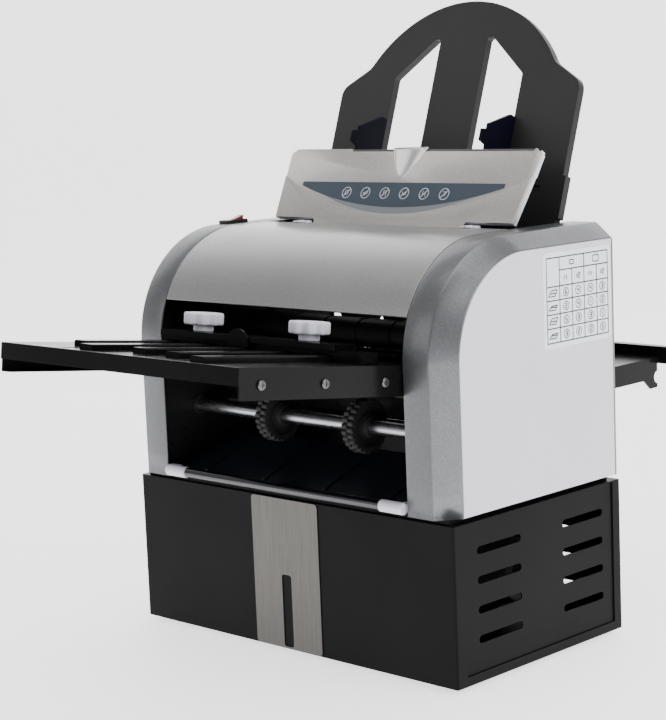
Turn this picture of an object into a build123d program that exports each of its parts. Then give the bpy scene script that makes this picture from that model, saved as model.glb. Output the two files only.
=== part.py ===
from build123d import *
import math
import os

# Desktop letter folding machine on a sheet metal base cabinet. Millimetres, +Z up.
# +X is the user's right, the front faces -Y. While the parts are drawn, Y is counted from
# the cabinet's front face and Z from the floor; emit() moves Y to the middle of the length.

# ---- driving dimensions -------------------------------------------------------------------
WIDTH = 430.0            # cabinet and covers, side to side
DEPTH = 253.0            # cabinet, front to back
FOOT = 5.0               # height of the feet
CABINET = 152.0          # height of the cabinet
SEAM = 5.0               # dark seam between cabinet and covers
HOOD_TOP = 412.0         # top of the covers above the floor
HOOD_FRONT = -6.0        # the covers stand a little proud of the cabinet
HOOD_BACK = 250.0
HOOD_RADIUS = 111.0      # the big front corner of the hood
BAY = 165.0              # half width of the front bay, between the two covers
BAND = 197.0             # where the flat band of a cover ends and its bevel starts
PANEL_FRONT = 16.0       # outline of the white side panel, inside the bevel
PANEL_TOP = 397.0
PANEL_RADIUS = 96.0
WALL = 3.0               # moulded cover thickness
SHEET = 1.5              # sheet metal thickness
PLATE_IN = 168.0         # inner face of the mechanism's side plates
PLATE_T = 3.0
TRAY_TILT = 7.2          # the front fold plate rises towards the user
TRAY_LEVEL = 301.0       # height of its top sheet at the cabinet's front face
TRAY_REACH = 207.0       # how far it stands out in front
REAR_LEVEL = 256.3       # top of the rear fold plate
REAR_REACH = 412.0       # where the rear fold plate ends
TRAY_HALF = 164.0        # half width of both fold plates, over the rails
LIP = 16.0               # depth of the front fold plate's lip
ROLLER = 15.0            # radius of the fold rollers
MODULE = 1.6             # gear module
TEETH = 19               # teeth of each roller gear
EXIT_TEETH = 45          # teeth of the exit shaft's gear
SHAFT = 5.0              # radius of the shafts
RUN = 0.06               # radial clearance of a shaft in its bush
LEAN = 19.1              # paper support, leaning back from the vertical
LID_LEAN = 29.5          # feed lid, leaning back from the vertical
WHEEL = 27.0             # radius of the exit wheels
GUIDE_X = 88.0           # half distance between the side guides, as set
LABEL_T = 0.4            # thickness of the labels

DECK = FOOT + CABINET            # top of the cabinet
HOOD_BASE = DECK + SEAM          # lower edge of the covers
PITCH = MODULE * TEETH           # centre distance of two roller gears
FRONT_REACH = (TRAY_REACH * math.cos(math.radians(TRAY_TILT))
               + LIP * math.sin(math.radians(TRAY_TILT)))
SHIFT_Y = -(REAR_REACH - FRONT_REACH) / 2

os.makedirs("parts", exist_ok=True)


# ---- helpers ------------------------------------------------------------------------------
def emit(name, *solids):
    """Write one sub-part, moved so that the origin is below the middle of the machine."""
    placed = [Pos(0, SHIFT_Y, 0) * solid for solid in solids]
    shape = placed[0] if len(placed) == 1 else Compound(children=placed)
    export_step(shape, "parts/" + name + ".step")


def block(x0, x1, y0, y1, z0, z1):
    middle = Pos((x0 + x1) / 2, (y0 + y1) / 2, (z0 + z1) / 2)
    return middle * Box(abs(x1 - x0), abs(y1 - y0), abs(z1 - z0))


def rod(x0, x1, y, z, radius):
    """A cylinder along X."""
    return Pos((x0 + x1) / 2, y, z) * Rot(0, 90, 0) * Cylinder(radius, abs(x1 - x0))


def pin(x, y, z0, z1, radius):
    """A cylinder along Z."""
    return Pos(x, y, (z0 + z1) / 2) * Cylinder(radius, abs(z1 - z0))


def slab(points, x0, x1):
    """A plate whose outline lies in the Y-Z plane."""
    outline = make_face(Polyline(*points, close=True))
    return extrude(Plane.YZ.offset(x0) * outline, x1 - x0)


def mirrored(solid):
    return mirror(solid, Plane.YZ)


def both(solid):
    return [solid, mirrored(solid)]


def hood_face(front, top, radius, back, bottom):
    """Side view of the hood: upright front, one big round corner, flat top."""
    low = (front, bottom)
    start = (front, top - radius)
    middle = (front + radius * (1 - math.sqrt(0.5)), top - radius * (1 - math.sqrt(0.5)))
    end = (front + radius, top)
    edges = [Line(low, start), ThreePointArc(start, middle, end), Line(end, (back, top)),
             Line((back, top), (back, bottom)), Line((back, bottom), low)]
    return make_face(edges)


def hood(inset, x0, x1, bottom=HOOD_BASE):
    """The hood's outline, set in from the covers' outer face, as a solid from x0 to x1."""
    face = hood_face(HOOD_FRONT + inset, HOOD_TOP - inset, HOOD_RADIUS - inset,
                     HOOD_BACK - inset, bottom)
    return extrude(Plane.YZ.offset(x0) * face, x1 - x0)


def rounded(x_size, y_size, z_size, radius):
    """A box with its four upright edges rounded, standing on z = 0."""
    return extrude(RectangleRounded(x_size, y_size, radius), z_size)


# ---- places of the shafts -----------------------------------------------------------------
def step_from(place, angle, distance):
    return (place[0] + distance * math.cos(math.radians(angle)),
            place[1] + distance * math.sin(math.radians(angle)))


IDLER_ANGLE = 18.0       # the feed gears climb towards the back
EXIT_ANGLE = 198.0       # the exit shaft lies in front of and below the last roller
ROLL_2 = (125.0, 275.0)
ROLL_1 = step_from(ROLL_2, 90, PITCH)
ROLL_3 = step_from(ROLL_2, 180, PITCH)
ROLL_4 = step_from(ROLL_3, 270, PITCH)
IDLER = step_from(ROLL_1, IDLER_ANGLE, PITCH)
FEED = step_from(IDLER, IDLER_ANGLE, PITCH)
EXIT = step_from(ROLL_4, EXIT_ANGLE, MODULE * (TEETH + EXIT_TEETH) / 2)
MOTOR = (170.0, 72.0)
SHAFTS = [ROLL_1, ROLL_2, ROLL_3, ROLL_4, FEED, EXIT]


# ---- gears --------------------------------------------------------------------------------
def gear(place, teeth, turn, x0, x1):
    """A spur gear about X. The first tooth points at angle turn, counted from +Y to +Z."""
    pitch_r = MODULE * teeth / 2
    root = pitch_r - 1.2 * MODULE
    tip = pitch_r + 0.85 * MODULE
    step = 2 * math.pi / teeth
    half_root, half_pitch, half_tip = 0.27 * step, 0.205 * step, 0.11 * step
    points = []
    for index in range(teeth):
        middle = math.radians(turn) + index * step
        for radius, half in ((root, -half_root), (pitch_r, -half_pitch), (tip, -half_tip),
                             (tip, half_tip), (pitch_r, half_pitch), (root, half_root)):
            angle = middle + half
            points.append((place[0] + radius * math.cos(angle),
                           place[1] + radius * math.sin(angle)))
    return slab(points, x0, x1)


def meshing_turn(angle, teeth_a, turn_a, teeth_b):
    """Turn of gear b so that it meshes with gear a, b lying at this angle from a."""
    step_a, step_b = 360 / teeth_a, 360 / teeth_b
    phase_a = ((angle - turn_a) / step_a) % 1
    return angle + 180 - (0.5 - phase_a) * step_b


GEAR_IN, GEAR_OUT = 174.0, 182.0
TURN_2 = 0.0
TURN_1 = meshing_turn(90, TEETH, TURN_2, TEETH)
TURN_3 = meshing_turn(180, TEETH, TURN_2, TEETH)
TURN_4 = meshing_turn(270, TEETH, TURN_3, TEETH)
TURN_IDLER = meshing_turn(IDLER_ANGLE, TEETH, TURN_1, TEETH)
TURN_FEED = meshing_turn(IDLER_ANGLE, TEETH, TURN_IDLER, TEETH)
TURN_EXIT = meshing_turn(EXIT_ANGLE, TEETH, TURN_4, EXIT_TEETH)


# ---- base cabinet -------------------------------------------------------------------------
RIM = 14.0               # bent edge round each side opening of the cabinet
INSET = 2.0              # the vent panels lie a little behind that edge
SLOT_ROWS = 4
SLOT_STEP = 28.0
SLOT_LOW = 44.5          # height of the lowest row of side slots
SLOT_W = 7.5
SLOT_LEN = 64.0


def base_shell():
    """Front, floor and rims in one folded sheet, open at the back and on top."""
    half = WIDTH / 2
    outer = block(-half, half, 0, DEPTH - SHEET, FOOT, DECK - SHEET)
    outer = fillet(outer.edges().filter_by(Axis.Z).group_by(Axis.Y)[0], 2.0)
    inner = block(-half + SHEET, half - SHEET, SHEET, DEPTH, FOOT + SHEET, DECK)
    shell = outer - inner
    window = block(-half - 1, half + 1, RIM, DEPTH - RIM + 3, FOOT + RIM - 5, DECK + 1)
    return shell - window


def vent_panel():
    """Right side panel with two columns of four slots."""
    face = WIDTH / 2 - SHEET - 0.05
    panel = block(face - SHEET, face, SHEET + 0.6, DEPTH - SHEET - 0.6,
                  FOOT + SHEET + 0.3, DECK - SHEET - 0.3)
    for column in (66.0, 194.0):
        for row in range(SLOT_ROWS):
            height = SLOT_LOW + row * SLOT_STEP
            slot = extrude(Plane.YZ * SlotOverall(SLOT_LEN, SLOT_W), 10)
            panel -= Pos(face - 5, column, height) * slot
    return panel


def base_back():
    """Back sheet with three rows of slots and the cut-out of the mains inlet."""
    half = WIDTH / 2
    sheet = block(-half, half, DEPTH - SHEET, DEPTH, FOOT, DECK)
    for column in (-130.0, 0.0, 130.0):
        for row in range(3):
            slot = extrude(Plane.XZ * SlotOverall(80, SLOT_W), 10)
            sheet -= Pos(column, DEPTH + 5, 40.5 + row * 28.5) * slot
    return sheet - block(-190.1, -161.9, DEPTH - 5, DEPTH + 5, 121.9, 146.1)


def base_top():
    """Deck sheet that the mechanism stands on, with the raised seat of the covers."""
    half = WIDTH / 2
    deck = block(-half, half, 0, DEPTH - SHEET, DECK - SHEET, DECK)
    deck = fillet(deck.edges().filter_by(Axis.Z).group_by(Axis.Y)[0], 2.0)
    seat = block(-half + 9, half - 9, 4, DEPTH - 8, DECK, HOOD_BASE)
    seat -= block(-half + 13, half - 13, 8, DEPTH - 12, DECK - 1, HOOD_BASE + 1)
    belt_gap = block(183, 195, 118, 196, DECK - 10, DECK + 1)
    return deck + seat - belt_gap


def feet():
    places = [(x, y) for x in (-180, 180) for y in (22, DEPTH - 22)]
    return [Pos(x, y, 0) * (Cylinder(11, FOOT, align=(Align.CENTER, Align.CENTER, Align.MIN))
                            - Pos(0, 0, -1) * Cylinder(3, 3, align=(Align.CENTER, Align.CENTER,
                                                                    Align.MIN)))
            for x, y in places]


KICK_X = -2.0            # middle of the stainless plate on the front


def kick_plate():
    """Stainless plate on the cabinet's front, with its upright slot."""
    plate = RectangleRounded(91, CABINET - 1, 4)
    plate -= Pos(0, -CABINET / 2 + 39) * RectangleRounded(13, 73, 3)
    upright = Plane.XZ * plate
    return Pos(KICK_X, 0, FOOT + CABINET / 2) * extrude(upright, 1.0)


def mains_inlet():
    """Three-pin appliance inlet in the back of the cabinet."""
    flange = block(-193, -159, DEPTH, DEPTH + 2, 118, 150)
    body = block(-190, -162, DEPTH - 22, DEPTH, 122, 146)
    well = block(-187, -165, DEPTH - 16, DEPTH + 3, 126, 142)
    inlet = flange + body - well
    for x in (-182, -176, -170):
        inlet += block(x - 1, x + 1, DEPTH - 17, DEPTH - 2, 131, 137)
    return inlet


def motor():
    """Gear motor on its foot, lying along X in the cabinet."""
    y, z = MOTOR
    can = rod(90, 160, y, z, 32)
    nose = rod(160, 172, y, z, 20)
    foot = block(95, 155, y - 34, y + 34, FOOT + SHEET, 44)
    foot -= rod(90, 160, y, z, 32)
    return (can + nose + foot) - rod(150, 175, y, z, SHAFT + RUN)


def motor_pulley():
    y, z = MOTOR
    wheel = rod(184, 194, y, z, 12) + rod(183.4, 184, y, z, 14) + rod(194, 194.6, y, z, 14)
    return wheel + rod(152, 194, y, z, SHAFT)


def drive_belt():
    """Belt from the motor pulley up to the second fold roller."""
    def ring(extra):
        lower = rod(185, 193, MOTOR[0], MOTOR[1], 12 + extra)
        upper = rod(185, 193, ROLL_2[0], ROLL_2[1], 20 + extra)
        angle = math.atan2(ROLL_2[1] - MOTOR[1], ROLL_2[0] - MOTOR[0])
        span = math.hypot(ROLL_2[1] - MOTOR[1], ROLL_2[0] - MOTOR[0])
        lift = math.acos((12 - 20) / span)
        corners = []
        for side in (1, -1):
            turn = angle + side * lift
            corners.append([(p[0] + r * math.cos(turn), p[1] + r * math.sin(turn))
                            for p, r in ((MOTOR, 12 + extra), (ROLL_2, 20 + extra))])
        left, right = corners
        web = slab([left[0], left[1], right[1], right[0]], 185, 193)
        return lower + upper + web
    return ring(2.0) - ring(0.35)


def control_board():
    """Circuit board with its transformer on the cabinet's floor."""
    low = FOOT + SHEET
    board = block(-150, -30, 150, 230, low + 8, low + 10)
    posts = [pin(x, y, low, low + 8, 3) for x in (-144, -36) for y in (156, 224)]
    transformer = block(-145, -95, 165, 215, low + 10, low + 52)
    sink = block(-60, -40, 160, 220, low + 10, low + 40)
    for index in range(4):
        sink -= block(-61, -46, 166 + index * 13, 174 + index * 13, low + 14, low + 41)
    part = board + transformer + sink
    for post in posts:
        part += post
    return part


# ---- mechanism frame ----------------------------------------------------------------------
BUSH = 8.0               # outer radius of the shaft bushes
TIE_PLACES = [(45.0, 372.0), (60.0, 176.0), (228.0, 200.0)]


def side_plate():
    """Right side plate of the mechanism, inside the cover."""
    plate = hood(4.0, PLATE_IN, PLATE_IN + PLATE_T)
    for y, z in SHAFTS:
        plate -= rod(PLATE_IN - 1, PLATE_IN + PLATE_T + 1, y, z, BUSH)
    plate -= rod(PLATE_IN - 1, PLATE_IN + PLATE_T + 1, IDLER[0], IDLER[1], SHAFT)
    for y, z in TIE_PLACES:
        plate -= rod(PLATE_IN - 1, PLATE_IN + PLATE_T + 1, y, z, 3.2)
    for y, z in ((22.7, 208.4), (21.8, 195.9), (42.6, 191.4), (3.7, 193.6)):
        plate -= rod(PLATE_IN - 1, PLATE_IN + PLATE_T + 1, y, z, 1.6)
    return plate


def bushes():
    """Flanged bushes that carry every shaft in both side plates."""
    parts = []
    for y, z in SHAFTS:
        bush = rod(PLATE_IN, PLATE_IN + PLATE_T, y, z, BUSH)
        bush += rod(PLATE_IN - 1.5, PLATE_IN, y, z, BUSH + 2)
        bush -= rod(PLATE_IN - 3, PLATE_IN + PLATE_T + 1, y, z, SHAFT + RUN)
        parts += both(bush)
    return parts


def tie_bars():
    """Round bars that hold the side plates apart, with the idler's fixed pin."""
    parts = []
    for y, z in TIE_PLACES:
        tie = rod(-PLATE_IN, PLATE_IN, y, z, 6)
        tie += rod(-PLATE_IN - PLATE_T, PLATE_IN + PLATE_T, y, z, 3.2)
        parts.append(tie)
    pin_part = rod(PLATE_IN, GEAR_OUT + 3, IDLER[0], IDLER[1], SHAFT)
    pin_part += rod(PLATE_IN + PLATE_T, GEAR_IN - 0.6, IDLER[0], IDLER[1], SHAFT + 2)
    parts.append(pin_part)
    return parts


# ---- covers -------------------------------------------------------------------------------
def panel_face(inset):
    return hood_face(PANEL_FRONT + inset, PANEL_TOP - inset, PANEL_RADIUS - inset,
                     HOOD_BACK - inset, HOOD_BASE)


def band_face(inset):
    return hood_face(HOOD_FRONT + inset, HOOD_TOP - inset, HOOD_RADIUS - inset,
                     HOOD_BACK - inset, HOOD_BASE)


def flare(x0, face0, x1, face1):
    return loft([Plane.YZ.offset(x0) * face0, Plane.YZ.offset(x1) * face1], ruled=True)


def cover():
    """Right cover: flat metallic band, then a bevel that falls to the white side panel."""
    half = WIDTH / 2
    outer = hood(0, BAY, BAND) + flare(BAND, band_face(0), half, panel_face(0))
    inner = hood(WALL, BAY - 1, BAND - WALL, HOOD_BASE - 1)
    inner += flare(BAND - WALL, band_face(WALL), half - WALL, panel_face(WALL))
    lower_gap = block(BAY - 1, half - WALL, HOOD_FRONT + WALL + 16, HOOD_BACK - WALL,
                      HOOD_BASE - 1, HOOD_BASE + 1)
    socket = extrude(Plane.YZ.offset(half - WALL) * panel_face(0), WALL + 1)
    return outer - inner - socket - lower_gap


def side_panel():
    """White side panel, let into the end of the cover."""
    half = WIDTH / 2
    return extrude(Plane.YZ.offset(half - WALL) * panel_face(0), WALL - LABEL_T)


def chart_label():
    """Label with the table of fold settings, on the right side panel."""
    y, z = 192.5, 345.5
    label = extrude(Plane.YZ * RectangleRounded(108, 94, 5), LABEL_T)
    return Pos(WIDTH / 2 - LABEL_T, y, z) * label


CURTAIN = 344.6          # lower edge of the curved front cover
LID_LINE = 152.0         # back edge of the curved front cover


def top_cover():
    """Curved front cover between the two side covers."""
    half = BAY - 0.4
    skin = hood(0, -half, half) - hood(WALL, -half - 1, half + 1, HOOD_BASE - 1)
    keep = block(-half, half, HOOD_FRONT - 1, LID_LINE, CURTAIN, HOOD_TOP + 1)
    cover_part = skin & keep
    rib = block(-half, half, 30, 33, HOOD_TOP - 60, HOOD_TOP + 5) & hood(1, -half, half)
    rib -= block(-half - 1, half + 1, 20, 40, HOOD_TOP - 70, HOOD_TOP - 35)
    lip = block(-half, half, LID_LINE - 2.5, LID_LINE, HOOD_TOP - 9, HOOD_TOP - 1)
    return cover_part + rib + lip


def rear_cover():
    """Back sheet over the ends of the covers, with the window of the rear fold plate."""
    sheet = block(-176, 176, HOOD_BACK, HOOD_BACK + SHEET, HOOD_BASE + 3, HOOD_TOP - 7)
    sheet -= block(-167, 167, HOOD_BACK - 1, HOOD_BACK + 5, 222, 302)
    flange = block(-BAY + 1, BAY - 1, HOOD_BACK - 5, HOOD_BACK + SHEET, HOOD_TOP - 7, HOOD_TOP - 5.5)
    for row in range(5):
        for x in (-70, 70):
            slot = extrude(Plane.XZ * SlotOverall(90, 5), 10)
            sheet -= Pos(x, HOOD_BACK + 6, 330 + row * 12) * slot
    return sheet + flange


# ---- power switch -------------------------------------------------------------------------
SWITCH = (-190.0, 125.5)


def switch_bezel():
    x, y = SWITCH
    bezel = Pos(x, y, HOOD_TOP) * rounded(14, 31, 3.5, 1.5)
    body = block(x - 5.5, x + 5.5, y - 13.5, y + 13.5, HOOD_TOP - 22, HOOD_TOP)
    well = block(x - 4.6, x + 4.6, y - 12.9, y + 12.9, HOOD_TOP - 12, HOOD_TOP + 5)
    return bezel + body - well


def switch_rocker():
    """Rocker that tips about a pivot along X, its far end up when off."""
    x, y = SWITCH
    low = HOOD_TOP - 1.5
    profile = [(y - 10.6, low - 3.5), (y + 10.6, low + 1.0), (y + 11.2, HOOD_TOP + 8.2),
               (y + 1.5, HOOD_TOP + 4.6), (y - 11.0, HOOD_TOP + 3.9)]
    return slab(profile, x - 4.2, x + 4.2)


# ---- feed lid -----------------------------------------------------------------------------
LID_AXIS = (158.0, 407.5)
LID_ORIGIN = Pos(0, 160.5, 416.5) * Rot(-LID_LEAN, 0, 0)   # Y back into the lid, Z up its face
LID_HALF = 162.0         # half width at the lower edge
LID_WIDE = 167.5         # half width where the sunk field begins
LID_TOP_HALF = 170.5     # half width below the upper corners
LID_HEIGHT = 81.0
LID_T = 7.0
FIELD_SIDE = 48.8        # height of the sunk field's arc at both sides
FIELD_MIDDLE = 6.5       # and in the middle
FIELD_DEPTH = 1.5
SCOOP_X = -1.5           # middle of the thumb scoop
SCOOP_TIP = 47.7
HINGE_HALF = 103.0       # half width of the part that reaches down to the hinge


def lid_outline():
    """Front view of the lid, its upper corners cut off."""
    right = [(LID_HALF, 0), (LID_WIDE, 48), (LID_TOP_HALF, 75.5), (163, LID_HEIGHT)]
    left = [(-x, z) for x, z in reversed(right)]
    return make_face(Polyline(*(right + left), close=True))


def scoop(low, high, tip):
    """Cone of the thumb scoop, wider towards the lid's upper edge."""
    cone = Cone(low, high, 34, align=(Align.CENTER, Align.CENTER, Align.MIN))
    return Pos(SCOOP_X, -3, tip) * cone


def lid_panel():
    """Feed lid: a shell with a sunk upper field above a long arc and a thumb scoop."""
    body = extrude(Plane.XZ * lid_outline(), -LID_T)
    side = LID_TOP_HALF + 3
    field_edge = ThreePointArc((-LID_WIDE, FIELD_SIDE), (0, FIELD_MIDDLE), (LID_WIDE, FIELD_SIDE))
    field = make_face([field_edge, Line((LID_WIDE, FIELD_SIDE), (side, 90)),
                       Line((side, 90), (-side, 90)), Line((-side, 90), (-LID_WIDE, FIELD_SIDE))])
    body -= extrude(Plane.XZ * field, -FIELD_DEPTH)
    body -= block(-LID_HALF + 3, LID_HALF - 3, 4, LID_T + 1, 5, LID_HEIGHT - 9)
    body -= block(-82, 160, -1, 4.5, LID_HEIGHT - 4.5, LID_HEIGHT + 2)
    body += scoop(2.5, 23, SCOOP_TIP - 1) & block(-60, 60, 3, LID_T + 7, 30, LID_HEIGHT - 4.5)
    body -= scoop(0.5, 20.5, SCOOP_TIP)
    apron = [(0, 2), (-0.4, -9), (0.6, -11.6), (4.2, -11.6), (5.2, -8), (LID_T, 0), (LID_T, 2)]
    body += slab(apron, -HINGE_HALF, HINGE_HALF)
    lid = LID_ORIGIN * body
    lid += rod(-HINGE_HALF, HINGE_HALF, LID_AXIS[0], LID_AXIS[1], 2.9)
    for side in (1, -1):
        lid -= rod(side * 90, side * 104, LID_AXIS[0], LID_AXIS[1], 1.5 + RUN)
    return lid


def lid_liner():
    """Dark stiffening strip behind the lid's upper edge."""
    strip = block(-LID_HALF + 2, LID_HALF - 2, LID_T, LID_T + 1.5, LID_HEIGHT - 20, LID_HEIGHT + 1)
    return LID_ORIGIN * (strip - scoop(4, 25, SCOOP_TIP - 1))


def lid_label():
    """Blue-grey insert: straight above, one long arc below."""
    top = 42.4
    edge = ThreePointArc((-138, 38), (0, 14.8), (138, 38))
    face = make_face([edge, Line((138, 38), (138, top)), Line((138, top), (-138, top)),
                      Line((-138, top), (-138, 38))])
    return LID_ORIGIN * extrude(Plane.XZ.offset(-FIELD_DEPTH) * face, LABEL_T)


def lid_clips():
    """Two white hinge clips on the front cover's edge, with the hinge pins."""
    y, z = LID_AXIS
    clip = block(106, 124, LID_LINE + 0.2, y + 3.5, z - 6, z + 6.3)
    clip = chamfer(clip.edges().filter_by(Axis.X).group_by(Axis.Z)[-1], 2)
    clip += block(108, 122, LID_LINE - 5, LID_LINE + 3, HOOD_TOP, HOOD_TOP + 1.8)
    clip += rod(92, 108, y, z, 1.5)
    return both(clip)


# ---- paper support and side guides --------------------------------------------------------
SUPPORT = Pos(0, 221.8, 396.6) * Rot(-LEAN, 0, 0)   # Y into the support, Z up along it
SUPPORT_HALF = 162.2
SUPPORT_T = 8.5
DOME = 148.0             # radius of the support's round top
DOME_Z = 104.0           # height of its centre
SHOULDER = 160.5         # height of the outer corners
SHOULDER_RISE = 0.6      # the shoulders climb towards the dome
NECK = 22.0              # hollow radius between shoulder and dome


def support_face(grow):
    """Front view of the paper support: a dome on a broad body."""
    half = SUPPORT_HALF - grow
    dome = Pos(0, DOME_Z) * Circle(DOME - grow)
    dome &= Pos(0, DOME_Z + 150) * Rectangle(400, 200)
    inner = SHOULDER + 60 * SHOULDER_RISE - grow
    body = make_face(Polyline((-half, -58 + grow), (half, -58 + grow), (half, SHOULDER - grow),
                              (half - 60, inner), (60 - half, inner), (-half, SHOULDER - grow),
                              close=True))
    corners = body.vertices().filter_by(lambda v: abs(abs(v.X) - half) < 1 and v.Y > 100)
    outline = dome + fillet(corners, 15 - grow)
    necks = outline.vertices().filter_by(lambda v: 100 < abs(v.X) < 145 and v.Y > 165)
    return fillet(necks, NECK + grow)


def window_face(grow):
    """One window of the support, right of the middle pillar."""
    points = [(32 - grow, 42 - grow), (87 + grow, 42 - grow), (87 + grow, 171 + grow / 2),
              (39 + grow / 2, 212 + grow), (32 - grow, 212 + grow)]
    face = make_face(Polyline(*points, close=True))
    return fillet(face.vertices(), 4)


def support():
    """Moulded paper support: thin face with a deep rim round its outline and windows."""
    body = extrude(Plane.XZ * support_face(0), -SUPPORT_T)
    pocket = extrude(Plane.XZ.offset(-3) * support_face(3), -SUPPORT_T)
    for side in (1, -1):
        rim = Plane.XZ.offset(-2) * window_face(3)
        keep = extrude(rim, -SUPPORT_T)
        if side < 0:
            keep = mirrored(keep)
        pocket -= keep
    pocket -= block(-3, 3, 0, 20, -60, 260)
    for height in (0, 226):
        pocket -= block(-200, 200, 0, 20, height, height + 3)
    body -= pocket
    for side in (1, -1):
        hole = extrude(Plane.XZ.offset(1) * window_face(0), -20)
        body -= hole if side > 0 else mirrored(hole)
        body -= block(side * 127, side * 136, -1, 1.5, 46, 54)
        body += block(side * (SUPPORT_HALF - 2), side * (SUPPORT_HALF + 3.5), 0, SUPPORT_T, 20.5, 64)
    return SUPPORT * body


FEED_ROLLERS = (-60.0, 0.0, 60.0)
FEED_R = 20.0
ROD_Y, ROD_Z = -18.6, -7.0   # the guides' rod, in the support's own directions


def feed_table():
    """Channels that hold the support, the guides' rod and the sill that paper stands on."""
    parts = []
    channel = block(152, PLATE_IN, -3.5, SUPPORT_T + 3, -62, -14)
    channel -= block(150, SUPPORT_HALF + 0.7, -0.5, SUPPORT_T + 0.5, -58.4, 0)
    for piece in both(channel):
        parts.append(SUPPORT * piece)
    parts.append(SUPPORT * rod(-PLATE_IN, PLATE_IN, ROD_Y, ROD_Z, 4))
    sill = SUPPORT * slab([(-38, -66), (-36.5, -67), (-16, -64), (-2, -71), (-1, -70), (-16, -62)],
                          -PLATE_IN, PLATE_IN)
    for x in FEED_ROLLERS:
        sill -= rod(x - 17, x + 17, FEED[0], FEED[1], FEED_R + 2.5)
    parts.append(sill)
    return parts


def side_guide():
    """Right side guide: upright cheek that leans with the support, hub on the rod."""
    cheek = slab([(-0.6, -16), (-0.6, 124.5), (-9, 125), (-39.6, 106.5), (-39.6, 101), (-47.6, 99),
                  (-47.6, 87), (-38.6, 85), (-33.6, 40), (-27.6, 8), (-27, -16)],
                 GUIDE_X - 1.5, GUIDE_X + 1.5)
    foot = block(GUIDE_X - 1.5, GUIDE_X + 16, -27.6, -10.6, ROD_Z - 9, ROD_Z + 9)
    flange = block(GUIDE_X - 1.5, GUIDE_X + 12, -2.6, -0.6, 2, 38)
    guide = cheek + foot + flange
    guide -= rod(GUIDE_X - 5, GUIDE_X + 20, ROD_Y, ROD_Z, 4 + RUN)
    return SUPPORT * guide


def feed_roller():
    """Rubber feed rollers on their shaft, with the shaft's gear."""
    y, z = FEED
    shaft = rod(-PLATE_IN - 6, GEAR_OUT, y, z, SHAFT)
    for x in FEED_ROLLERS:
        shaft += rod(x - 14, x + 14, y, z, FEED_R)
    return shaft + gear(FEED, TEETH, TURN_FEED, GEAR_IN, GEAR_OUT)


def idler_gear():
    wheel = gear(IDLER, TEETH, TURN_IDLER, GEAR_IN, GEAR_OUT)
    return wheel - rod(GEAR_IN - 1, GEAR_OUT + 1, IDLER[0], IDLER[1], SHAFT + RUN)


def separator_pad():
    """Separator pad on its sprung arm, behind the middle feed roller."""
    y, z = FEED
    pad = Pos(0, y, z) * Rot(-12, 0, 0) * block(-16, 16, 20.8, 25, -9, 9)
    arm = Pos(0, y, z) * Rot(-12, 0, 0) * block(-12, 12, 25, 28, -40, 9)
    return pad + arm


# ---- fold rollers -------------------------------------------------------------------------
def fold_roller(place, turn, pulley=False):
    """Steel fold roller with turned journals and its gear."""
    y, z = place
    body = rod(-PLATE_IN + 3, PLATE_IN - 3, y, z, ROLLER)
    for index in range(7):
        middle = -138 + index * 46
        body -= rod(middle - 3, middle + 3, y, z, ROLLER + 1) - rod(middle - 4, middle + 4, y, z, ROLLER - 1)
    body += rod(-PLATE_IN - 6, GEAR_OUT, y, z, SHAFT)
    body += gear(place, TEETH, turn, GEAR_IN, GEAR_OUT)
    if pulley:
        body += rod(GEAR_OUT, 194.6, y, z, SHAFT)
        body += rod(184, 194, y, z, 20) + rod(183.4, 184, y, z, 22.5) + rod(194, 194.6, y, z, 22.5)
    return body


# ---- exit ---------------------------------------------------------------------------------
EXIT_WHEEL_X = (-51.5, 67.5)
EXIT_SHAFT = 7.2         # radius of the exit shaft between the side plates


def exit_shaft():
    y, z = EXIT
    shaft = rod(-PLATE_IN + 2, PLATE_IN - 2, y, z, EXIT_SHAFT)
    shaft += rod(-PLATE_IN - 6, GEAR_OUT, y, z, SHAFT)
    hub = rod(GEAR_IN, GEAR_OUT, y, z, 12)
    return shaft + gear(EXIT, EXIT_TEETH, TURN_EXIT, GEAR_IN, GEAR_OUT) + hub


def exit_wheel(x):
    """Rubber wheel with two staggered rows of lumps and its hub, fixed on the exit shaft."""
    y, z = EXIT
    wheel = rod(x - 7, x + 7, y, z, WHEEL - 2)
    step = 2 * math.pi / 24
    for row, side in enumerate((-1, 1)):
        for index in range(24):
            angle = (index + row / 2) * step
            wheel += rod(x + side * 0.3, x + side * 6.6, y + (WHEEL - 2.3) * math.cos(angle),
                         z + (WHEEL - 2.3) * math.sin(angle), 2.3)
    wheel -= rod(x + 4.5, x + 8, y, z, WHEEL - 6) - rod(x + 4, x + 9, y, z, 13)
    wheel += rod(x + 4, x + 11, y, z, 10.5)
    return wheel - rod(x - 8, x + 14, y, z, EXIT_SHAFT)


def exit_deck():
    """Sloping deck that folded sheets slide down, with five low ribs."""
    profile = [(6, 166.5), (88, 196.5), (150, 204), (150, 202.4), (88.4, 194.9), (6, 164.9)]
    deck = slab(profile, -PLATE_IN, PLATE_IN)
    deck += block(-PLATE_IN, PLATE_IN, 4.5, 6, HOOD_BASE + 0.2, 166.5)
    for x in (-126, -42, 42, 126):
        deck += slab([(10, 167), (86, 194.8), (86, 197.6), (12, 170.6)], x - 1.5, x + 1.5)
    return deck


BAR_Y, BAR_Z = -7.0, 169.0     # the exit bar, across the foot of the bay


def exit_bar():
    """Bright bar that turns in two white sleeves at the foot of the bay."""
    return rod(-158, 158, BAR_Y, BAR_Z, 3.0) + rod(-133.4, 133.4, BAR_Y, BAR_Z, 5.0)


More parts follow.
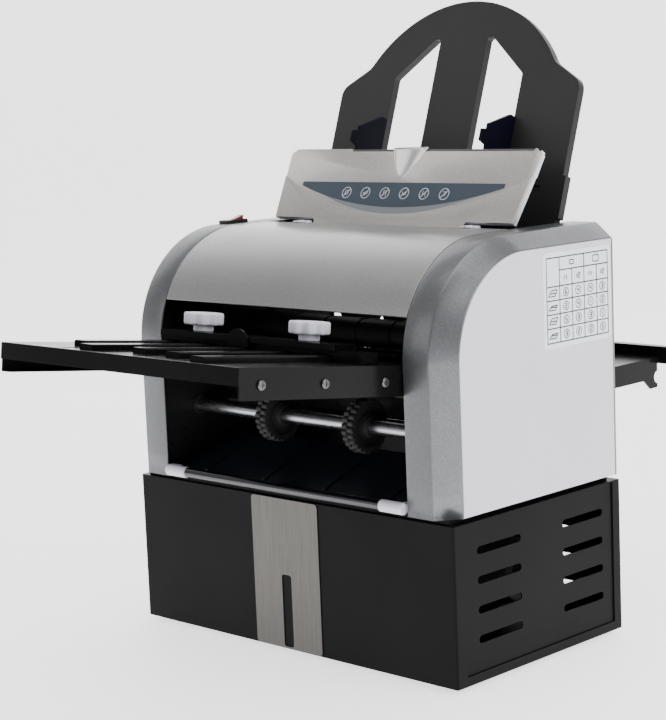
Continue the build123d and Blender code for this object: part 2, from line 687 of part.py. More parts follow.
def exit_sleeves():
    sleeve = rod(134, 163, BAR_Y, BAR_Z, 5.8)
    sleeve = fillet(sleeve.edges().filter_by(GeomType.CIRCLE), 1.5)
    sleeve += block(155, PLATE_IN, -2.4, 4, BAR_Z - 1.8, BAR_Z + 4) + block(155, 162, -7, 0, BAR_Z, BAR_Z + 4)
    sleeve -= rod(133, 159, BAR_Y, BAR_Z, 3.0 + RUN)
    return both(sleeve)


# ---- front fold plate ---------------------------------------------------------------------
TRAY = Pos(0, 0, TRAY_LEVEL) * Rot(-TRAY_TILT, 0, 0)   # Y along the plate, Z above its sheet
TRAY_END = 76.0          # inner end of the plate, close to the rollers
RAIL = 28.0              # height of its side rails
RIB_STEP = 52.0
RIB_W = 18.0
RIB_H = 5.5
FINGERS = (-84.0, -26.0, 26.0, 84.0)
RIB_STARTS = (-160.0, -195.0, -176.0, -182.0, -200.0)


def front_sheet():
    """Upper sheet of the front fold plate, with its lip and the slots of the stop."""
    half = TRAY_HALF
    sheet = block(-half, half, -TRAY_REACH, TRAY_END, -SHEET, 0)
    sheet += block(-half, half, -TRAY_REACH, -TRAY_REACH + SHEET, -LIP, 0)
    sheet = fillet(sheet.edges().filter_by(Axis.X).group_by(Axis.Y)[0].group_by(Axis.Z)[-1], 1.2)
    for x in FINGERS:
        sheet -= block(x - 4, x + 4, -198, 62, -5, 5)
    return TRAY * sheet


def front_under_sheet():
    """Lower sheet: paper runs in the gap between the two."""
    low = block(-TRAY_HALF + 2.2, TRAY_HALF - 2.2, -TRAY_REACH + SHEET + 1, TRAY_END, -6, -4.8)
    end = block(-TRAY_HALF + 2.2, TRAY_HALF - 2.2, -TRAY_REACH + SHEET + 1,
                -TRAY_REACH + SHEET + 2.2, -6, -SHEET)
    return TRAY * (low + end)


def front_rails():
    """Side rails, each a folded strip with a short inward foot."""
    half = TRAY_HALF
    rail = block(half - 2, half, -TRAY_REACH + SHEET, TRAY_END, -RAIL, -SHEET)
    rail += block(half - 12, half, -TRAY_REACH + SHEET, TRAY_END, -RAIL, -RAIL + SHEET)
    return [TRAY * piece for piece in both(rail)]


def hat(x, y0, y1):
    channel = block(x - RIB_W / 2, x + RIB_W / 2, y0, y1, 0, RIB_H)
    channel = chamfer(channel.edges().filter_by(Axis.Y).group_by(Axis.Z)[-1], 1.2)
    return channel - block(x - RIB_W / 2 + 1.3, x + RIB_W / 2 - 1.3, y0 + 1.3, y1 + 1, -1, RIB_H - 1.3)


def front_ribs():
    """Hat-section ribs along the upper sheet."""
    ribs = []
    for index, start in enumerate(RIB_STARTS):
        ribs.append(TRAY * hat((index - 2) * RIB_STEP, start, 60))
    return ribs


def pan_head(x, y, z, side):
    """Cross-recessed pan head screw whose axis is X."""
    head = rod(x, x + side * 2.4, y, z, 4.6)
    head = fillet(head.edges().filter_by(GeomType.CIRCLE).sort_by(Axis.X)[-1 if side > 0 else 0], 1.4)
    cross = block(x + side * 1.0, x + side * 3, y - 2.6, y + 2.6, z - 0.5, z + 0.5)
    cross += block(x + side * 1.0, x + side * 3, y - 0.5, y + 0.5, z - 2.6, z + 2.6)
    return head - cross


def front_screws():
    screws = []
    for y in (-181, -104, -27):
        for side in (1, -1):
            screws.append(TRAY * pan_head(side * TRAY_HALF, y, -15, side))
    return screws


KNOB_X = 72.6            # clamp knobs
KNOB_Y = -33.0
TAB_X = -4.5             # middle of the pull tab
BAR_LOW, BAR_HIGH = 10.5, 16.0


def stop_comb():
    """Sliding stop: a comb astride the ribs, fingers in the gap and a round pull tab."""
    comb = block(-119, 150, -44, -22, 0.4, BAR_LOW)
    for index in range(5):
        x = (index - 2) * RIB_STEP
        comb -= block(x - RIB_W / 2 - 0.8, x + RIB_W / 2 + 0.8, -60, 0, -1, RIB_H + 0.6)
    for x in FINGERS:
        comb += block(x - 3, x + 3, -36, -30, -4.4, 1)
    for side in (1, -1):
        comb -= pin(side * KNOB_X, KNOB_Y, -1, 12, 3.5)
    tab = extrude(Plane.XZ * (Pos(TAB_X, 8) * Circle(15)), 2)
    tab &= block(TAB_X - 20, TAB_X + 20, -5, 5, RIB_H + 0.8, 40)
    web = block(TAB_X - 14.8, TAB_X + 14.8, -50, -44, RIB_H + 0.8, BAR_LOW)
    return TRAY * (comb + Pos(0, -50, 0) * tab + web)


def stop_bar():
    """Clamp bar on the comb."""
    clamp = block(-119, 119, -50, -16, BAR_LOW, BAR_HIGH)
    clamp = fillet(clamp.edges().filter_by(Axis.Z), 3)
    for side in (1, -1):
        clamp -= pin(side * KNOB_X, KNOB_Y, 0, 20, 3.5)
    return TRAY * clamp


def star_knob(x, y, z, stud_length=12, lobes=8):
    """Star knob with its collar and threaded stud, upright on z."""
    low, high = z + 6.5, z + 18.8
    head = pin(x, y, low, high, 17.6)
    step = 2 * math.pi / lobes
    for index in range(lobes):
        angle = (index + 0.5) * step
        head += pin(x + 14.8 * math.cos(angle), y + 14.8 * math.sin(angle), low, high, 4.8)
    for index in range(lobes):
        angle = index * step
        head -= pin(x + 21.2 * math.cos(angle), y + 21.2 * math.sin(angle), z, z + 30, 5.0)
    collar = pin(x, y, z + 0.3, low, 10.0)
    stud = pin(x, y, z - stud_length, z + 1, 3)
    return head + collar + stud


# ---- rear fold plate ----------------------------------------------------------------------
REAR = Pos(0, 0, REAR_LEVEL)
REAR_IN = 122.0          # inner end, below the second roller
REAR_RAIL = 22.5
HOOK = (396.5, -21.0)    # centre of the hook's notch


def rear_sheet():
    """Upper sheet of the rear fold plate with the upturned flange at its end."""
    half = TRAY_HALF
    sheet = block(-half, half, REAR_IN, REAR_REACH - 10, -SHEET, 0)
    for x in (-84, 84):
        sheet -= block(x - 4, x + 4, REAR_IN + 20, REAR_REACH - 30, -5, 5)
    sheet += block(-178, 178, REAR_REACH - 10, REAR_REACH - 8, -7.5, 10.5)
    sheet += block(-178, 178, REAR_REACH - 10, REAR_REACH, 9, 10.5)
    return REAR * sheet


def rear_under_sheet():
    low = block(-TRAY_HALF + 2.2, TRAY_HALF - 2.2, REAR_IN, REAR_REACH - 12, -6, -4.8)
    end = block(-TRAY_HALF + 2.2, TRAY_HALF - 2.2, REAR_REACH - 13.2, REAR_REACH - 12, -6, -SHEET)
    return REAR * (low + end)


def rear_rails():
    """Side rails that end in a hook, by which the plate hangs when it is stored."""
    half = TRAY_HALF
    outline = [(REAR_IN, -SHEET), (396, -SHEET), (396, -31.8), (383.6, -32.3), (372.5, -REAR_RAIL),
               (REAR_IN, -REAR_RAIL)]
    rail = slab(outline, half - 2, half) - rod(half - 3, half + 1, HOOK[0], HOOK[1], 6.5)
    rail = rail + block(half - 10, half, REAR_IN, 365, -REAR_RAIL, -REAR_RAIL + SHEET)
    return [REAR * piece for piece in both(rail)]


def rear_stop():
    """Sliding stop of the rear plate."""
    comb = block(-140, 140, 284, 312, 0.4, 10.5)
    for x in (-84, 84):
        comb += block(x - 3, x + 3, 290, 296, -4.4, 1)
    comb -= pin(0, 300, -1, 12, 3.5)
    for side in (1, -1):
        comb -= block(side * 20, side * 70, 283, 313, 0, 7)
    return REAR * comb


def plate_guides():
    """Ledges on the side plates that both fold plates slide in on."""
    front = block(150, PLATE_IN, 4, 72, -RAIL - 2.4, -RAIL - 0.4)
    rear = block(150, PLATE_IN, 150, HOOD_BACK - 6, -REAR_RAIL - 2.4, -REAR_RAIL - 0.4)
    return [TRAY * piece for piece in both(front)] + [REAR * piece for piece in both(rear)]


# ---- write every sub-part -----------------------------------------------------------------
emit("base_shell", base_shell())
emit("base_side_right", vent_panel())
emit("base_side_left", mirrored(vent_panel()))
emit("base_back", base_back())
emit("base_top", base_top())
emit("base_feet", *feet())
emit("kick_plate", kick_plate())
emit("mains_inlet", mains_inlet())
emit("motor", motor())
emit("motor_pulley", motor_pulley())
emit("drive_belt", drive_belt())
emit("control_board", control_board())

emit("side_plate_right", side_plate())
emit("side_plate_left", mirrored(side_plate()))
emit("bushes", *bushes())
emit("tie_bars", *tie_bars())
emit("cover_right", cover())
emit("cover_left", mirrored(cover()) - block(SWITCH[0] - 5.6, SWITCH[0] + 5.6, SWITCH[1] - 13.6,
                                             SWITCH[1] + 13.6, HOOD_TOP - 6, HOOD_TOP + 2))
emit("side_panel_right", side_panel())
emit("side_panel_left", mirrored(side_panel()))
emit("chart_label", chart_label())
emit("top_cover", top_cover())
emit("rear_cover", rear_cover())
emit("switch_bezel", switch_bezel())
emit("switch_rocker", switch_rocker())

emit("lid_panel", lid_panel())
emit("lid_liner", lid_liner())
emit("lid_label", lid_label())
emit("lid_clips", *lid_clips())

emit("support", support())
emit("feed_table", *feed_table())
emit("guide_right", side_guide())
emit("guide_left", mirrored(side_guide()))
emit("feed_roller", feed_roller())
emit("idler_gear", idler_gear())
emit("separator_pad", separator_pad())

emit("fold_roller_1", fold_roller(ROLL_1, TURN_1))
emit("fold_roller_2", fold_roller(ROLL_2, TURN_2, pulley=True))
emit("fold_roller_3", fold_roller(ROLL_3, TURN_3))
emit("fold_roller_4", fold_roller(ROLL_4, TURN_4))

emit("exit_shaft", exit_shaft())
emit("exit_wheels", *[exit_wheel(x) for x in EXIT_WHEEL_X])
emit("exit_deck", exit_deck())
emit("exit_bar", exit_bar())
emit("exit_sleeves", *exit_sleeves())

emit("front_sheet", front_sheet())
emit("front_under_sheet", front_under_sheet())
emit("front_rails", *front_rails())
emit("front_ribs", *front_ribs())
emit("front_screws", *front_screws())
emit("stop_comb", stop_comb())
emit("stop_bar", stop_bar())
emit("knob_left", TRAY * star_knob(-KNOB_X, KNOB_Y, BAR_HIGH))
emit("knob_right", TRAY * star_knob(KNOB_X, KNOB_Y, BAR_HIGH))

emit("rear_sheet", rear_sheet())
emit("rear_under_sheet", rear_under_sheet())
emit("rear_rails", *rear_rails())
emit("rear_stop", rear_stop())
emit("plate_guides", *plate_guides())
emit("rear_knob", REAR * star_knob(0, 300, 10.5, stud_length=9))
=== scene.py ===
import math

import bmesh
import bpy
from mathutils import Matrix, Vector


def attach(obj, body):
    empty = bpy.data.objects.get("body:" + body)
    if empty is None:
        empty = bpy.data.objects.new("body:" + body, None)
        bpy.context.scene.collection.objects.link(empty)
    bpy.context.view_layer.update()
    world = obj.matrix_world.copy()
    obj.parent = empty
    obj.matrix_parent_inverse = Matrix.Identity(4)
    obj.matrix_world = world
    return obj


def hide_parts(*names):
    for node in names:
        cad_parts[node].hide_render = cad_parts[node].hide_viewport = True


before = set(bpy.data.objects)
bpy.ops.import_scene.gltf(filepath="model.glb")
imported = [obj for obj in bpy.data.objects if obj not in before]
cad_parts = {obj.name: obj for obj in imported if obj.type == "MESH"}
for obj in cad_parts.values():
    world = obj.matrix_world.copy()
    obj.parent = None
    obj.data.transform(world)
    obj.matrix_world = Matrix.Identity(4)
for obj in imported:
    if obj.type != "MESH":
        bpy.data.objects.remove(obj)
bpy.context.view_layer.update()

# Lengths are in millimetres while a piece is drawn: x to the user's right, y back from the
# cabinet's front face, z up from the table. toFrame turns them into the shared frame in metres.
trayTilt = math.radians(7.2)
lidLean = math.radians(29.5)
frontReach = 207 * math.cos(trayTilt) + 16 * math.sin(trayTilt)
shiftY = -(412.0 - frontReach) / 2


def toFrame(x, y, z):
    return Vector((x / 1000, (y + shiftY) / 1000, z / 1000))


def leaning(originY, originZ, lean):
    def place(x, y, z):
        return toFrame(x, originY + y * math.cos(lean) + z * math.sin(lean),
                       originZ - y * math.sin(lean) + z * math.cos(lean))
    return place


onTray = leaning(0, 301.0, trayTilt)
onLid = leaning(160.5, 416.5, lidLean)
onRear = leaning(0, 256.3, 0)
upright = leaning(0, 0, 0)


# Shared surface effects, as node groups with plain outputs.
def newGroup(name, inputs, outputs):
    group = bpy.data.node_groups.new(name, "ShaderNodeTree")
    for socketName, kind, value in inputs:
        item = group.interface.new_socket(name=socketName, in_out="INPUT", socket_type=kind)
        if value is not None:
            item.default_value = value
    for socketName, kind in outputs:
        group.interface.new_socket(name=socketName, in_out="OUTPUT", socket_type=kind)
    start = group.nodes.new("NodeGroupInput")
    end = group.nodes.new("NodeGroupOutput")
    return group, start, end


def noiseNode(tree, vector, scale, detail, roughness=0.5):
    node = tree.nodes.new("ShaderNodeTexNoise")
    node.inputs["Detail"].default_value = detail
    node.inputs["Roughness"].default_value = roughness
    tree.links.new(vector, node.inputs["Vector"])
    if isinstance(scale, (int, float)):
        node.inputs["Scale"].default_value = scale
    else:
        tree.links.new(scale, node.inputs["Scale"])
    return node.outputs["Fac"]


def rangeNode(tree, value, fromLow, fromHigh, toLow, toHigh):
    node = tree.nodes.new("ShaderNodeMapRange")
    tree.links.new(value, node.inputs["Value"])
    for socketName, end in (("From Min", fromLow), ("From Max", fromHigh),
                            ("To Min", toLow), ("To Max", toHigh)):
        if isinstance(end, (int, float)):
            node.inputs[socketName].default_value = end
        else:
            tree.links.new(end, node.inputs[socketName])
    return node.outputs["Result"]


def mathNode(tree, operation, first, second):
    node = tree.nodes.new("ShaderNodeMath")
    node.operation = operation
    for index, value in enumerate((first, second)):
        if isinstance(value, (int, float)):
            node.inputs[index].default_value = value
        else:
            tree.links.new(value, node.inputs[index])
    return node.outputs["Value"]


def mixNode(tree, factor, first, second):
    node = tree.nodes.new("ShaderNodeMix")
    node.data_type = "RGBA"
    tree.links.new(factor, node.inputs["Factor"])
    for socketName, value in ((6, first), (7, second)):
        if isinstance(value, (tuple, list)):
            node.inputs[socketName].default_value = value
        else:
            tree.links.new(value, node.inputs[socketName])
    return node.outputs[2]


def handledSurface():
    group, start, end = newGroup(
        "handledSurface",
        [("Vector", "NodeSocketVector", None), ("Base", "NodeSocketColor", (0.5, 0.5, 0.5, 1)),
         ("Shade", "NodeSocketColor", (0.4, 0.4, 0.4, 1)), ("Cloud Scale", "NodeSocketFloat", 9.0),
         ("Roughness", "NodeSocketFloat", 0.4), ("Smudge", "NodeSocketFloat", 0.1),
         ("Grain Scale", "NodeSocketFloat", 900.0)],
        [("Color", "NodeSocketColor"), ("Roughness", "NodeSocketFloat"), ("Height", "NodeSocketFloat")])
    cloud = noiseNode(group, start.outputs["Vector"], start.outputs["Cloud Scale"], 4.0)
    cloud = rangeNode(group, cloud, 0.35, 0.68, 0.0, 1.0)
    color = mixNode(group, cloud, start.outputs["Base"], start.outputs["Shade"])
    smudge = noiseNode(group, start.outputs["Vector"], 24.0, 5.0, 0.62)
    spread = mathNode(group, "MULTIPLY", mathNode(group, "SUBTRACT", smudge, 0.5), start.outputs["Smudge"])
    rough = mathNode(group, "ADD", start.outputs["Roughness"], spread)
    grain = noiseNode(group, start.outputs["Vector"], start.outputs["Grain Scale"], 2.0)
    group.links.new(color, end.inputs["Color"])
    group.links.new(rough, end.inputs["Roughness"])
    group.links.new(grain, end.inputs["Height"])
    return group


def metalFlake():
    group, start, end = newGroup(
        "metalFlake",
        [("Vector", "NodeSocketVector", None), ("Base", "NodeSocketColor", (0.5, 0.5, 0.5, 1)),
         ("Bright", "NodeSocketColor", (0.7, 0.7, 0.7, 1)), ("Flake Scale", "NodeSocketFloat", 1500.0),
         ("Roughness", "NodeSocketFloat", 0.35)],
        [("Color", "NodeSocketColor"), ("Roughness", "NodeSocketFloat"), ("Height", "NodeSocketFloat")])
    cells = group.nodes.new("ShaderNodeTexVoronoi")
    group.links.new(start.outputs["Vector"], cells.inputs["Vector"])
    group.links.new(start.outputs["Flake Scale"], cells.inputs["Scale"])
    split = group.nodes.new("ShaderNodeSeparateColor")
    group.links.new(cells.outputs["Color"], split.inputs["Color"])
    spark = rangeNode(group, split.outputs["Red"], 0.55, 1.0, 0.0, 1.0)
    cloud = noiseNode(group, start.outputs["Vector"], 7.0, 3.0)
    spark = mathNode(group, "MULTIPLY", spark, rangeNode(group, cloud, 0.3, 0.7, 0.6, 1.0))
    color = mixNode(group, spark, start.outputs["Base"], start.outputs["Bright"])
    wipe = noiseNode(group, start.outputs["Vector"], 18.0, 5.0, 0.6)
    rough = mathNode(group, "ADD", start.outputs["Roughness"], rangeNode(group, wipe, 0.3, 0.7, -0.05, 0.05))
    group.links.new(color, end.inputs["Color"])
    group.links.new(rough, end.inputs["Roughness"])
    group.links.new(split.outputs["Green"], end.inputs["Height"])
    return group


def brushedLines():
    group, start, end = newGroup(
        "brushedLines",
        [("Vector", "NodeSocketVector", None), ("Base", "NodeSocketColor", (0.5, 0.5, 0.5, 1)),
         ("Line", "NodeSocketColor", (0.4, 0.4, 0.4, 1)), ("Roughness", "NodeSocketFloat", 0.3),
         ("Streak", "NodeSocketFloat", 0.4)],
        [("Color", "NodeSocketColor"), ("Roughness", "NodeSocketFloat"), ("Height", "NodeSocketFloat")])
    fine = noiseNode(group, start.outputs["Vector"], 1900.0, 3.0, 0.7)
    broad = noiseNode(group, start.outputs["Vector"], 260.0, 3.0, 0.6)
    streak = mathNode(group, "MULTIPLY", mathNode(group, "SUBTRACT", broad, 0.5), start.outputs["Streak"])
    blend = rangeNode(group, mathNode(group, "ADD", fine, streak), 0.3, 0.7, 0.0, 1.0)
    color = mixNode(group, blend, start.outputs["Base"], start.outputs["Line"])
    rough = mathNode(group, "ADD", start.outputs["Roughness"], rangeNode(group, blend, 0.0, 1.0, -0.05, 0.06))
    group.links.new(color, end.inputs["Color"])
    group.links.new(rough, end.inputs["Roughness"])
    group.links.new(fine, end.inputs["Height"])
    return group


effects = {"handled": handledSurface(), "flake": metalFlake(), "brushed": brushedLines()}


def newMaterial(name, effect, look):
    material = bpy.data.materials.new(name)
    material.use_nodes = True
    tree = material.node_tree
    shader = tree.nodes["Principled BSDF"]
    shader.inputs["Metallic"].default_value = look.get("metallic", 0.0)
    shader.inputs["Coat Weight"].default_value = look.get("coat", 0.0)
    shader.inputs["Coat Roughness"].default_value = look.get("coatRoughness", 0.08)
    shader.inputs["Specular IOR Level"].default_value = look.get("specular", 0.5)
    shader.inputs["Subsurface Weight"].default_value = look.get("subsurface", 0.0)
    shader.inputs["Subsurface Scale"].default_value = 0.004
    shader.inputs["Emission Strength"].default_value = look.get("glow", 0.0)
    shader.inputs["Emission Color"].default_value = (1.0, 1.0, 1.0, 1.0)
    coords = tree.nodes.new("ShaderNodeTexCoord")
    vector = coords.outputs["Object"]
    if "stretch" in look:
        mapping = tree.nodes.new("ShaderNodeMapping")
        mapping.inputs["Scale"].default_value = look["stretch"]
        tree.links.new(vector, mapping.inputs["Vector"])
        vector = mapping.outputs["Vector"]
    group = tree.nodes.new("ShaderNodeGroup")
    group.node_tree = effects[effect]
    tree.links.new(vector, group.inputs["Vector"])
    for socketName, value in look["inputs"].items():
        group.inputs[socketName].default_value = value
    bump = tree.nodes.new("ShaderNodeBump")
    bump.inputs["Strength"].default_value = look.get("bump", 0.1)
    bump.inputs["Distance"].default_value = look.get("bumpDistance", 0.0002)
    tree.links.new(group.outputs["Color"], shader.inputs["Base Color"])
    tree.links.new(group.outputs["Roughness"], shader.inputs["Roughness"])
    tree.links.new(group.outputs["Height"], bump.inputs["Height"])
    tree.links.new(bump.outputs["Normal"], shader.inputs["Normal"])
    return material


def grey(value, tint=(1.0, 1.0, 1.0)):
    return (value * tint[0], value * tint[1], value * tint[2], 1.0)


def handled(name, base, shade, roughness, **more):
    inputs = {"Base": base, "Shade": shade, "Roughness": roughness,
              "Smudge": more.pop("smudge", 0.12), "Cloud Scale": more.pop("cloud", 9.0),
              "Grain Scale": more.pop("grain", 900.0)}
    return newMaterial(name, "handled", dict(more, inputs=inputs))


def flaked(name, base, bright, roughness, **more):
    inputs = {"Base": base, "Bright": bright, "Roughness": roughness,
              "Flake Scale": more.pop("flakes", 1500.0)}
    return newMaterial(name, "flake", dict(more, inputs=inputs))


def brushed(name, base, line, roughness, stretch, **more):
    inputs = {"Base": base, "Line": line, "Roughness": roughness, "Streak": more.pop("streak", 0.4)}
    return newMaterial(name, "brushed", dict(more, inputs=inputs, stretch=stretch))


coolTint = (0.96, 0.98, 1.06)
lilacTint = (0.97, 0.96, 1.08)
warmTint = (1.05, 1.0, 0.94)
materials = {
    "hoodSilver": flaked("hoodSilver", grey(0.27), grey(0.36), 0.36, metallic=0.7, coat=0.45, coatRoughness=0.2,
                         bump=0.02),
    "lidSilver": flaked("lidSilver", grey(0.42, warmTint), grey(0.55), 0.36, metallic=0.7, coat=0.4, bump=0.03),
    "bandSilver": flaked("bandSilver", grey(0.115, coolTint), grey(0.17), 0.40, metallic=0.75, coat=0.2,
                         bump=0.03),
    "bevelSilver": flaked("bevelSilver", grey(0.155, coolTint), grey(0.235), 0.34, metallic=0.8, coat=0.3,
                          bump=0.03),
    "panelWhite": handled("panelWhite", grey(0.72, lilacTint), grey(0.68, lilacTint), 0.36, grain=700.0,
                          bump=0.12, coat=0.1),
    "labelWhite": handled("labelWhite", grey(0.92, coolTint), grey(0.9, coolTint), 0.3, bump=0.03),
    "inkGrey": handled("inkGrey", grey(0.012), grey(0.02), 0.7, bump=0.02, specular=0.1),
    "inkLight": handled("inkLight", grey(0.62, coolTint), grey(0.56, coolTint), 0.5, bump=0.02),
    "slate": handled("slate", (0.050, 0.066, 0.088, 1), (0.044, 0.06, 0.08, 1), 0.34, bump=0.02, specular=0.3),
    # Painted shade: a colour for the band along the lid's crease, below the label, standing in for the crease's
    # shading.
    "paintedCreaseShade": handled("paintedCreaseShade", (0.20, 0.215, 0.235, 1), (0.18, 0.2, 0.22, 1), 0.34, bump=0.02),
    "cabinetBlack": handled("cabinetBlack", grey(0.005, coolTint), grey(0.007, coolTint), 0.34, grain=420.0,
                            bump=0.06, specular=0.05, smudge=0.1),
    "plateBlack": handled("plateBlack", grey(0.004, coolTint), grey(0.006, coolTint), 0.2, grain=300.0, bump=0.04,
                          specular=0.09, smudge=0.12),
    "frameBlack": handled("frameBlack", grey(0.006, coolTint), grey(0.009), 0.45, bump=0.1, specular=0.25),
    "deckBlack": handled("deckBlack", (0.010, 0.012, 0.020, 1), (0.014, 0.016, 0.024, 1), 0.35, bump=0.1,
                         specular=0.3),
    "supportBlack": handled("supportBlack", grey(0.013), grey(0.016), 0.46, grain=1300.0, bump=0.2,
                            specular=0.35, smudge=0.06),
    "guideBlack": handled("guideBlack", (0.003, 0.003, 0.008, 1), (0.004, 0.004, 0.010, 1), 0.3, bump=0.03,
                          specular=0.08),
    "clipWhite": handled("clipWhite", grey(0.74, lilacTint), grey(0.68, lilacTint), 0.36, bump=0.05,
                         subsurface=0.1),
    "knobWhite": handled("knobWhite", grey(0.84, lilacTint), grey(0.78, lilacTint), 0.42, bump=0.1,
                         subsurface=0.12),
    "lidEdge": handled("lidEdge", grey(0.74, coolTint), grey(0.68, coolTint), 0.4, bump=0.04),
    # Painted shade: the dark grey of the lid's back lip stands in for the shade that the lip sits in.
    "linerPaintedShade": handled("linerPaintedShade", grey(0.06), grey(0.05), 0.5, bump=0.05),
    "scoopSilver": flaked("scoopSilver", grey(0.5), grey(0.66), 0.3, metallic=0.8, coat=0.4, bump=0.03),
    "kickSteel": brushed("kickSteel", grey(0.105, warmTint), grey(0.08, warmTint), 0.3, (1.0, 1.0, 0.012),
                         metallic=1.0, bump=0.08, streak=0.25),
    "shaftSteel": brushed("shaftSteel", grey(0.48, coolTint), grey(0.36), 0.26, (0.02, 1.0, 1.0), metallic=1.0,
                          bump=0.08),
    "barSteel": brushed("barSteel", grey(0.10, coolTint), grey(0.08), 0.18, (0.02, 1.0, 1.0), metallic=1.0,
                        bump=0.05),
    "rollerDark": brushed("rollerDark", grey(0.012), grey(0.008), 0.5, (0.03, 1.0, 1.0), bump=0.1,
                          specular=0.15),
    "screwSteel": brushed("screwSteel", grey(0.16), grey(0.11), 0.36, (1.0, 0.2, 1.0), metallic=1.0, bump=0.1),
    "wheelRubber": handled("wheelRubber", grey(0.022), grey(0.014), 0.6, grain=1800.0, bump=0.3, specular=0.3),
    "footRubber": handled("footRubber", grey(0.012), grey(0.018), 0.7, grain=1500.0, bump=0.3),
    "gearWhite": handled("gearWhite", grey(0.66, warmTint), grey(0.58, warmTint), 0.5, bump=0.08,
                         subsurface=0.05),
    "bushBlack": handled("bushBlack", grey(0.012), grey(0.016), 0.5, bump=0.08),
    "motorGrey": handled("motorGrey", grey(0.16, coolTint), grey(0.12), 0.4, bump=0.08),
    "boardGreen": handled("boardGreen", (0.02, 0.12, 0.05, 1), (0.015, 0.09, 0.04, 1), 0.4),
    "switchBlack": handled("switchBlack", grey(0.010), grey(0.016), 0.3, bump=0.05, specular=0.4),
    "rockerRed": handled("rockerRed", (0.16, 0.006, 0.012, 1), (0.11, 0.004, 0.01, 1), 0.16, coat=0.6, bump=0.02),
    "padBrown": handled("padBrown", (0.16, 0.09, 0.05, 1), (0.12, 0.06, 0.035, 1), 0.75, grain=1600.0, bump=0.3),
}
print("materials", len(materials))


# Mesh helpers. Every shape is drawn in the piece's own directions and mapped at the end.
def addBlock(bm, x0, x1, y0, y1, z0, z1, radius=0.0, segments=2, material=0):
    size = Matrix.Diagonal((abs(x1 - x0), abs(y1 - y0), abs(z1 - z0), 1))
    middle = Matrix.Translation(((x0 + x1) / 2, (y0 + y1) / 2, (z0 + z1) / 2))
    made = bmesh.ops.create_cube(bm, size=1.0, matrix=middle @ size)["verts"]
    return roundOff(bm, made, radius, segments, material)


def roundOff(bm, verts, radius, segments, material):
    faces = {face for vert in verts for face in vert.link_faces}
    for face in faces:
        face.material_index = material
    if radius > 0:
        edges = list({edge for vert in verts for edge in vert.link_edges})
        bmesh.ops.bevel(bm, geom=edges, offset=radius, offset_type="OFFSET", segments=segments,
                        profile=0.5, affect="EDGES", clamp_overlap=True, material=-1)


def addPlate(bm, outline, axis, low, high, radius=0.0, segments=2, material=0):
    def spot(a, b, height):
        return {"x": (height, a, b), "y": (a, height, b), "z": (a, b, height)}[axis]
    verts = [bm.verts.new(spot(a, b, low)) for a, b in outline]
    face = bm.faces.new(verts)
    face.material_index = material
    made = bmesh.ops.extrude_face_region(bm, geom=[face])["geom"]
    top = [item for item in made if isinstance(item, bmesh.types.BMVert)]
    offset = spot(0, 0, high - low)
    bmesh.ops.translate(bm, verts=top, vec=offset)
    sides = {f for vert in verts + top for f in vert.link_faces}
    for side in sides:
        side.material_index = material
    bmesh.ops.recalc_face_normals(bm, faces=list(sides))
    if radius > 0:
        caps = [f for f in sides if len(f.verts) == len(outline) and len(outline) > 4
                or abs(f.normal.dot(Vector(spot(0, 0, 1)).normalized())) > 0.99]
        edges = list({edge for f in caps for edge in f.edges})
        bmesh.ops.bevel(bm, geom=edges, offset=radius, offset_type="OFFSET", segments=segments,
                        profile=0.5, affect="EDGES", clamp_overlap=True, material=-1)


def addLathe(bm, profile, centre, axis="x", steps=48):
    cx, cy, cz = centre
    spots = {"x": lambda r, h: (cx + h, cy + r, cz), "y": lambda r, h: (cx + r, cy + h, cz),
             "z": lambda r, h: (cx + r, cy, cz + h)}
    verts = [bm.verts.new(spots[axis](r, h)) for r, h in profile]
    edges = [bm.edges.new(pair) for pair in zip(verts, verts[1:])]
    direction = {"x": (1, 0, 0), "y": (0, 1, 0), "z": (0, 0, 1)}[axis]
    bmesh.ops.spin(bm, geom=verts + edges, cent=centre, axis=direction, angle=2 * math.pi,
                   steps=steps, use_merge=True, use_duplicate=False)
    bmesh.ops.remove_doubles(bm, verts=bm.verts[:], dist=0.0005)


def finishPiece(name, bm, place, body, looks, replaced=(), sharp=32.0, bevel=0.0, recalc=True):
    if recalc:
        bmesh.ops.recalc_face_normals(bm, faces=bm.faces[:])
    for vert in bm.verts:
        vert.co = place(*vert.co)
    for face in bm.faces:
        face.smooth = True
    mesh = bpy.data.meshes.new(name)
    bm.to_mesh(mesh)
    bm.free()
    mesh.set_sharp_from_angle(angle=math.radians(sharp))
    piece = bpy.data.objects.new(name, mesh)
    bpy.context.scene.collection.objects.link(piece)
    for look in looks:
        mesh.materials.append(materials[look])
    if bevel:
        softEdges(piece, bevel)
    if replaced:
        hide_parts(*replaced)
    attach(piece, body)
    return piece


def softEdges(piece, width, segments=2, angle=35.0):
    bevel = piece.modifiers.new("softEdge", "BEVEL")
    bevel.width = width / 1000
    bevel.segments = segments
    bevel.limit_method = "ANGLE"
    bevel.angle_limit = math.radians(angle)
    bevel.harden_normals = True


def arcPoints(centre, radius, fromAngle, toAngle, steps):
    return [(centre[0] + radius * math.cos(math.radians(fromAngle + (toAngle - fromAngle) * i / steps)),
             centre[1] + radius * math.sin(math.radians(fromAngle + (toAngle - fromAngle) * i / steps)))
            for i in range(steps + 1)]


# Hood: covers, side panels and the curved front cover.
hoodShape = {"bottom": 162.0, "front": -6.0, "top": 412.0, "radius": 111.0, "back": 250.0,
             "panelFront": 16.0, "panelTop": 397.0, "panelRadius": 96.0, "bay": 165.2, "band": 197.0,
             "wall": 2.6, "half": 215.0, "seamRoll": 1.4}


def hoodLine(front, top, radius, back, bottom, steps=40):
    low = [(front, bottom + (top - radius - bottom) * i / 6) for i in range(6)]
    curve = arcPoints((front + radius, top - radius), radius, 180, 90, steps)
    high = [(front + radius + (back - 2 - front - radius) * i / 6, top) for i in range(1, 6)]
    corner = arcPoints((back - 2, top - 2), 2, 90, 0, 4)
    rear = [(back, top - 2 + (bottom - top + 2) * i / 6) for i in range(1, 7)]
    return low + curve + high + corner + rear


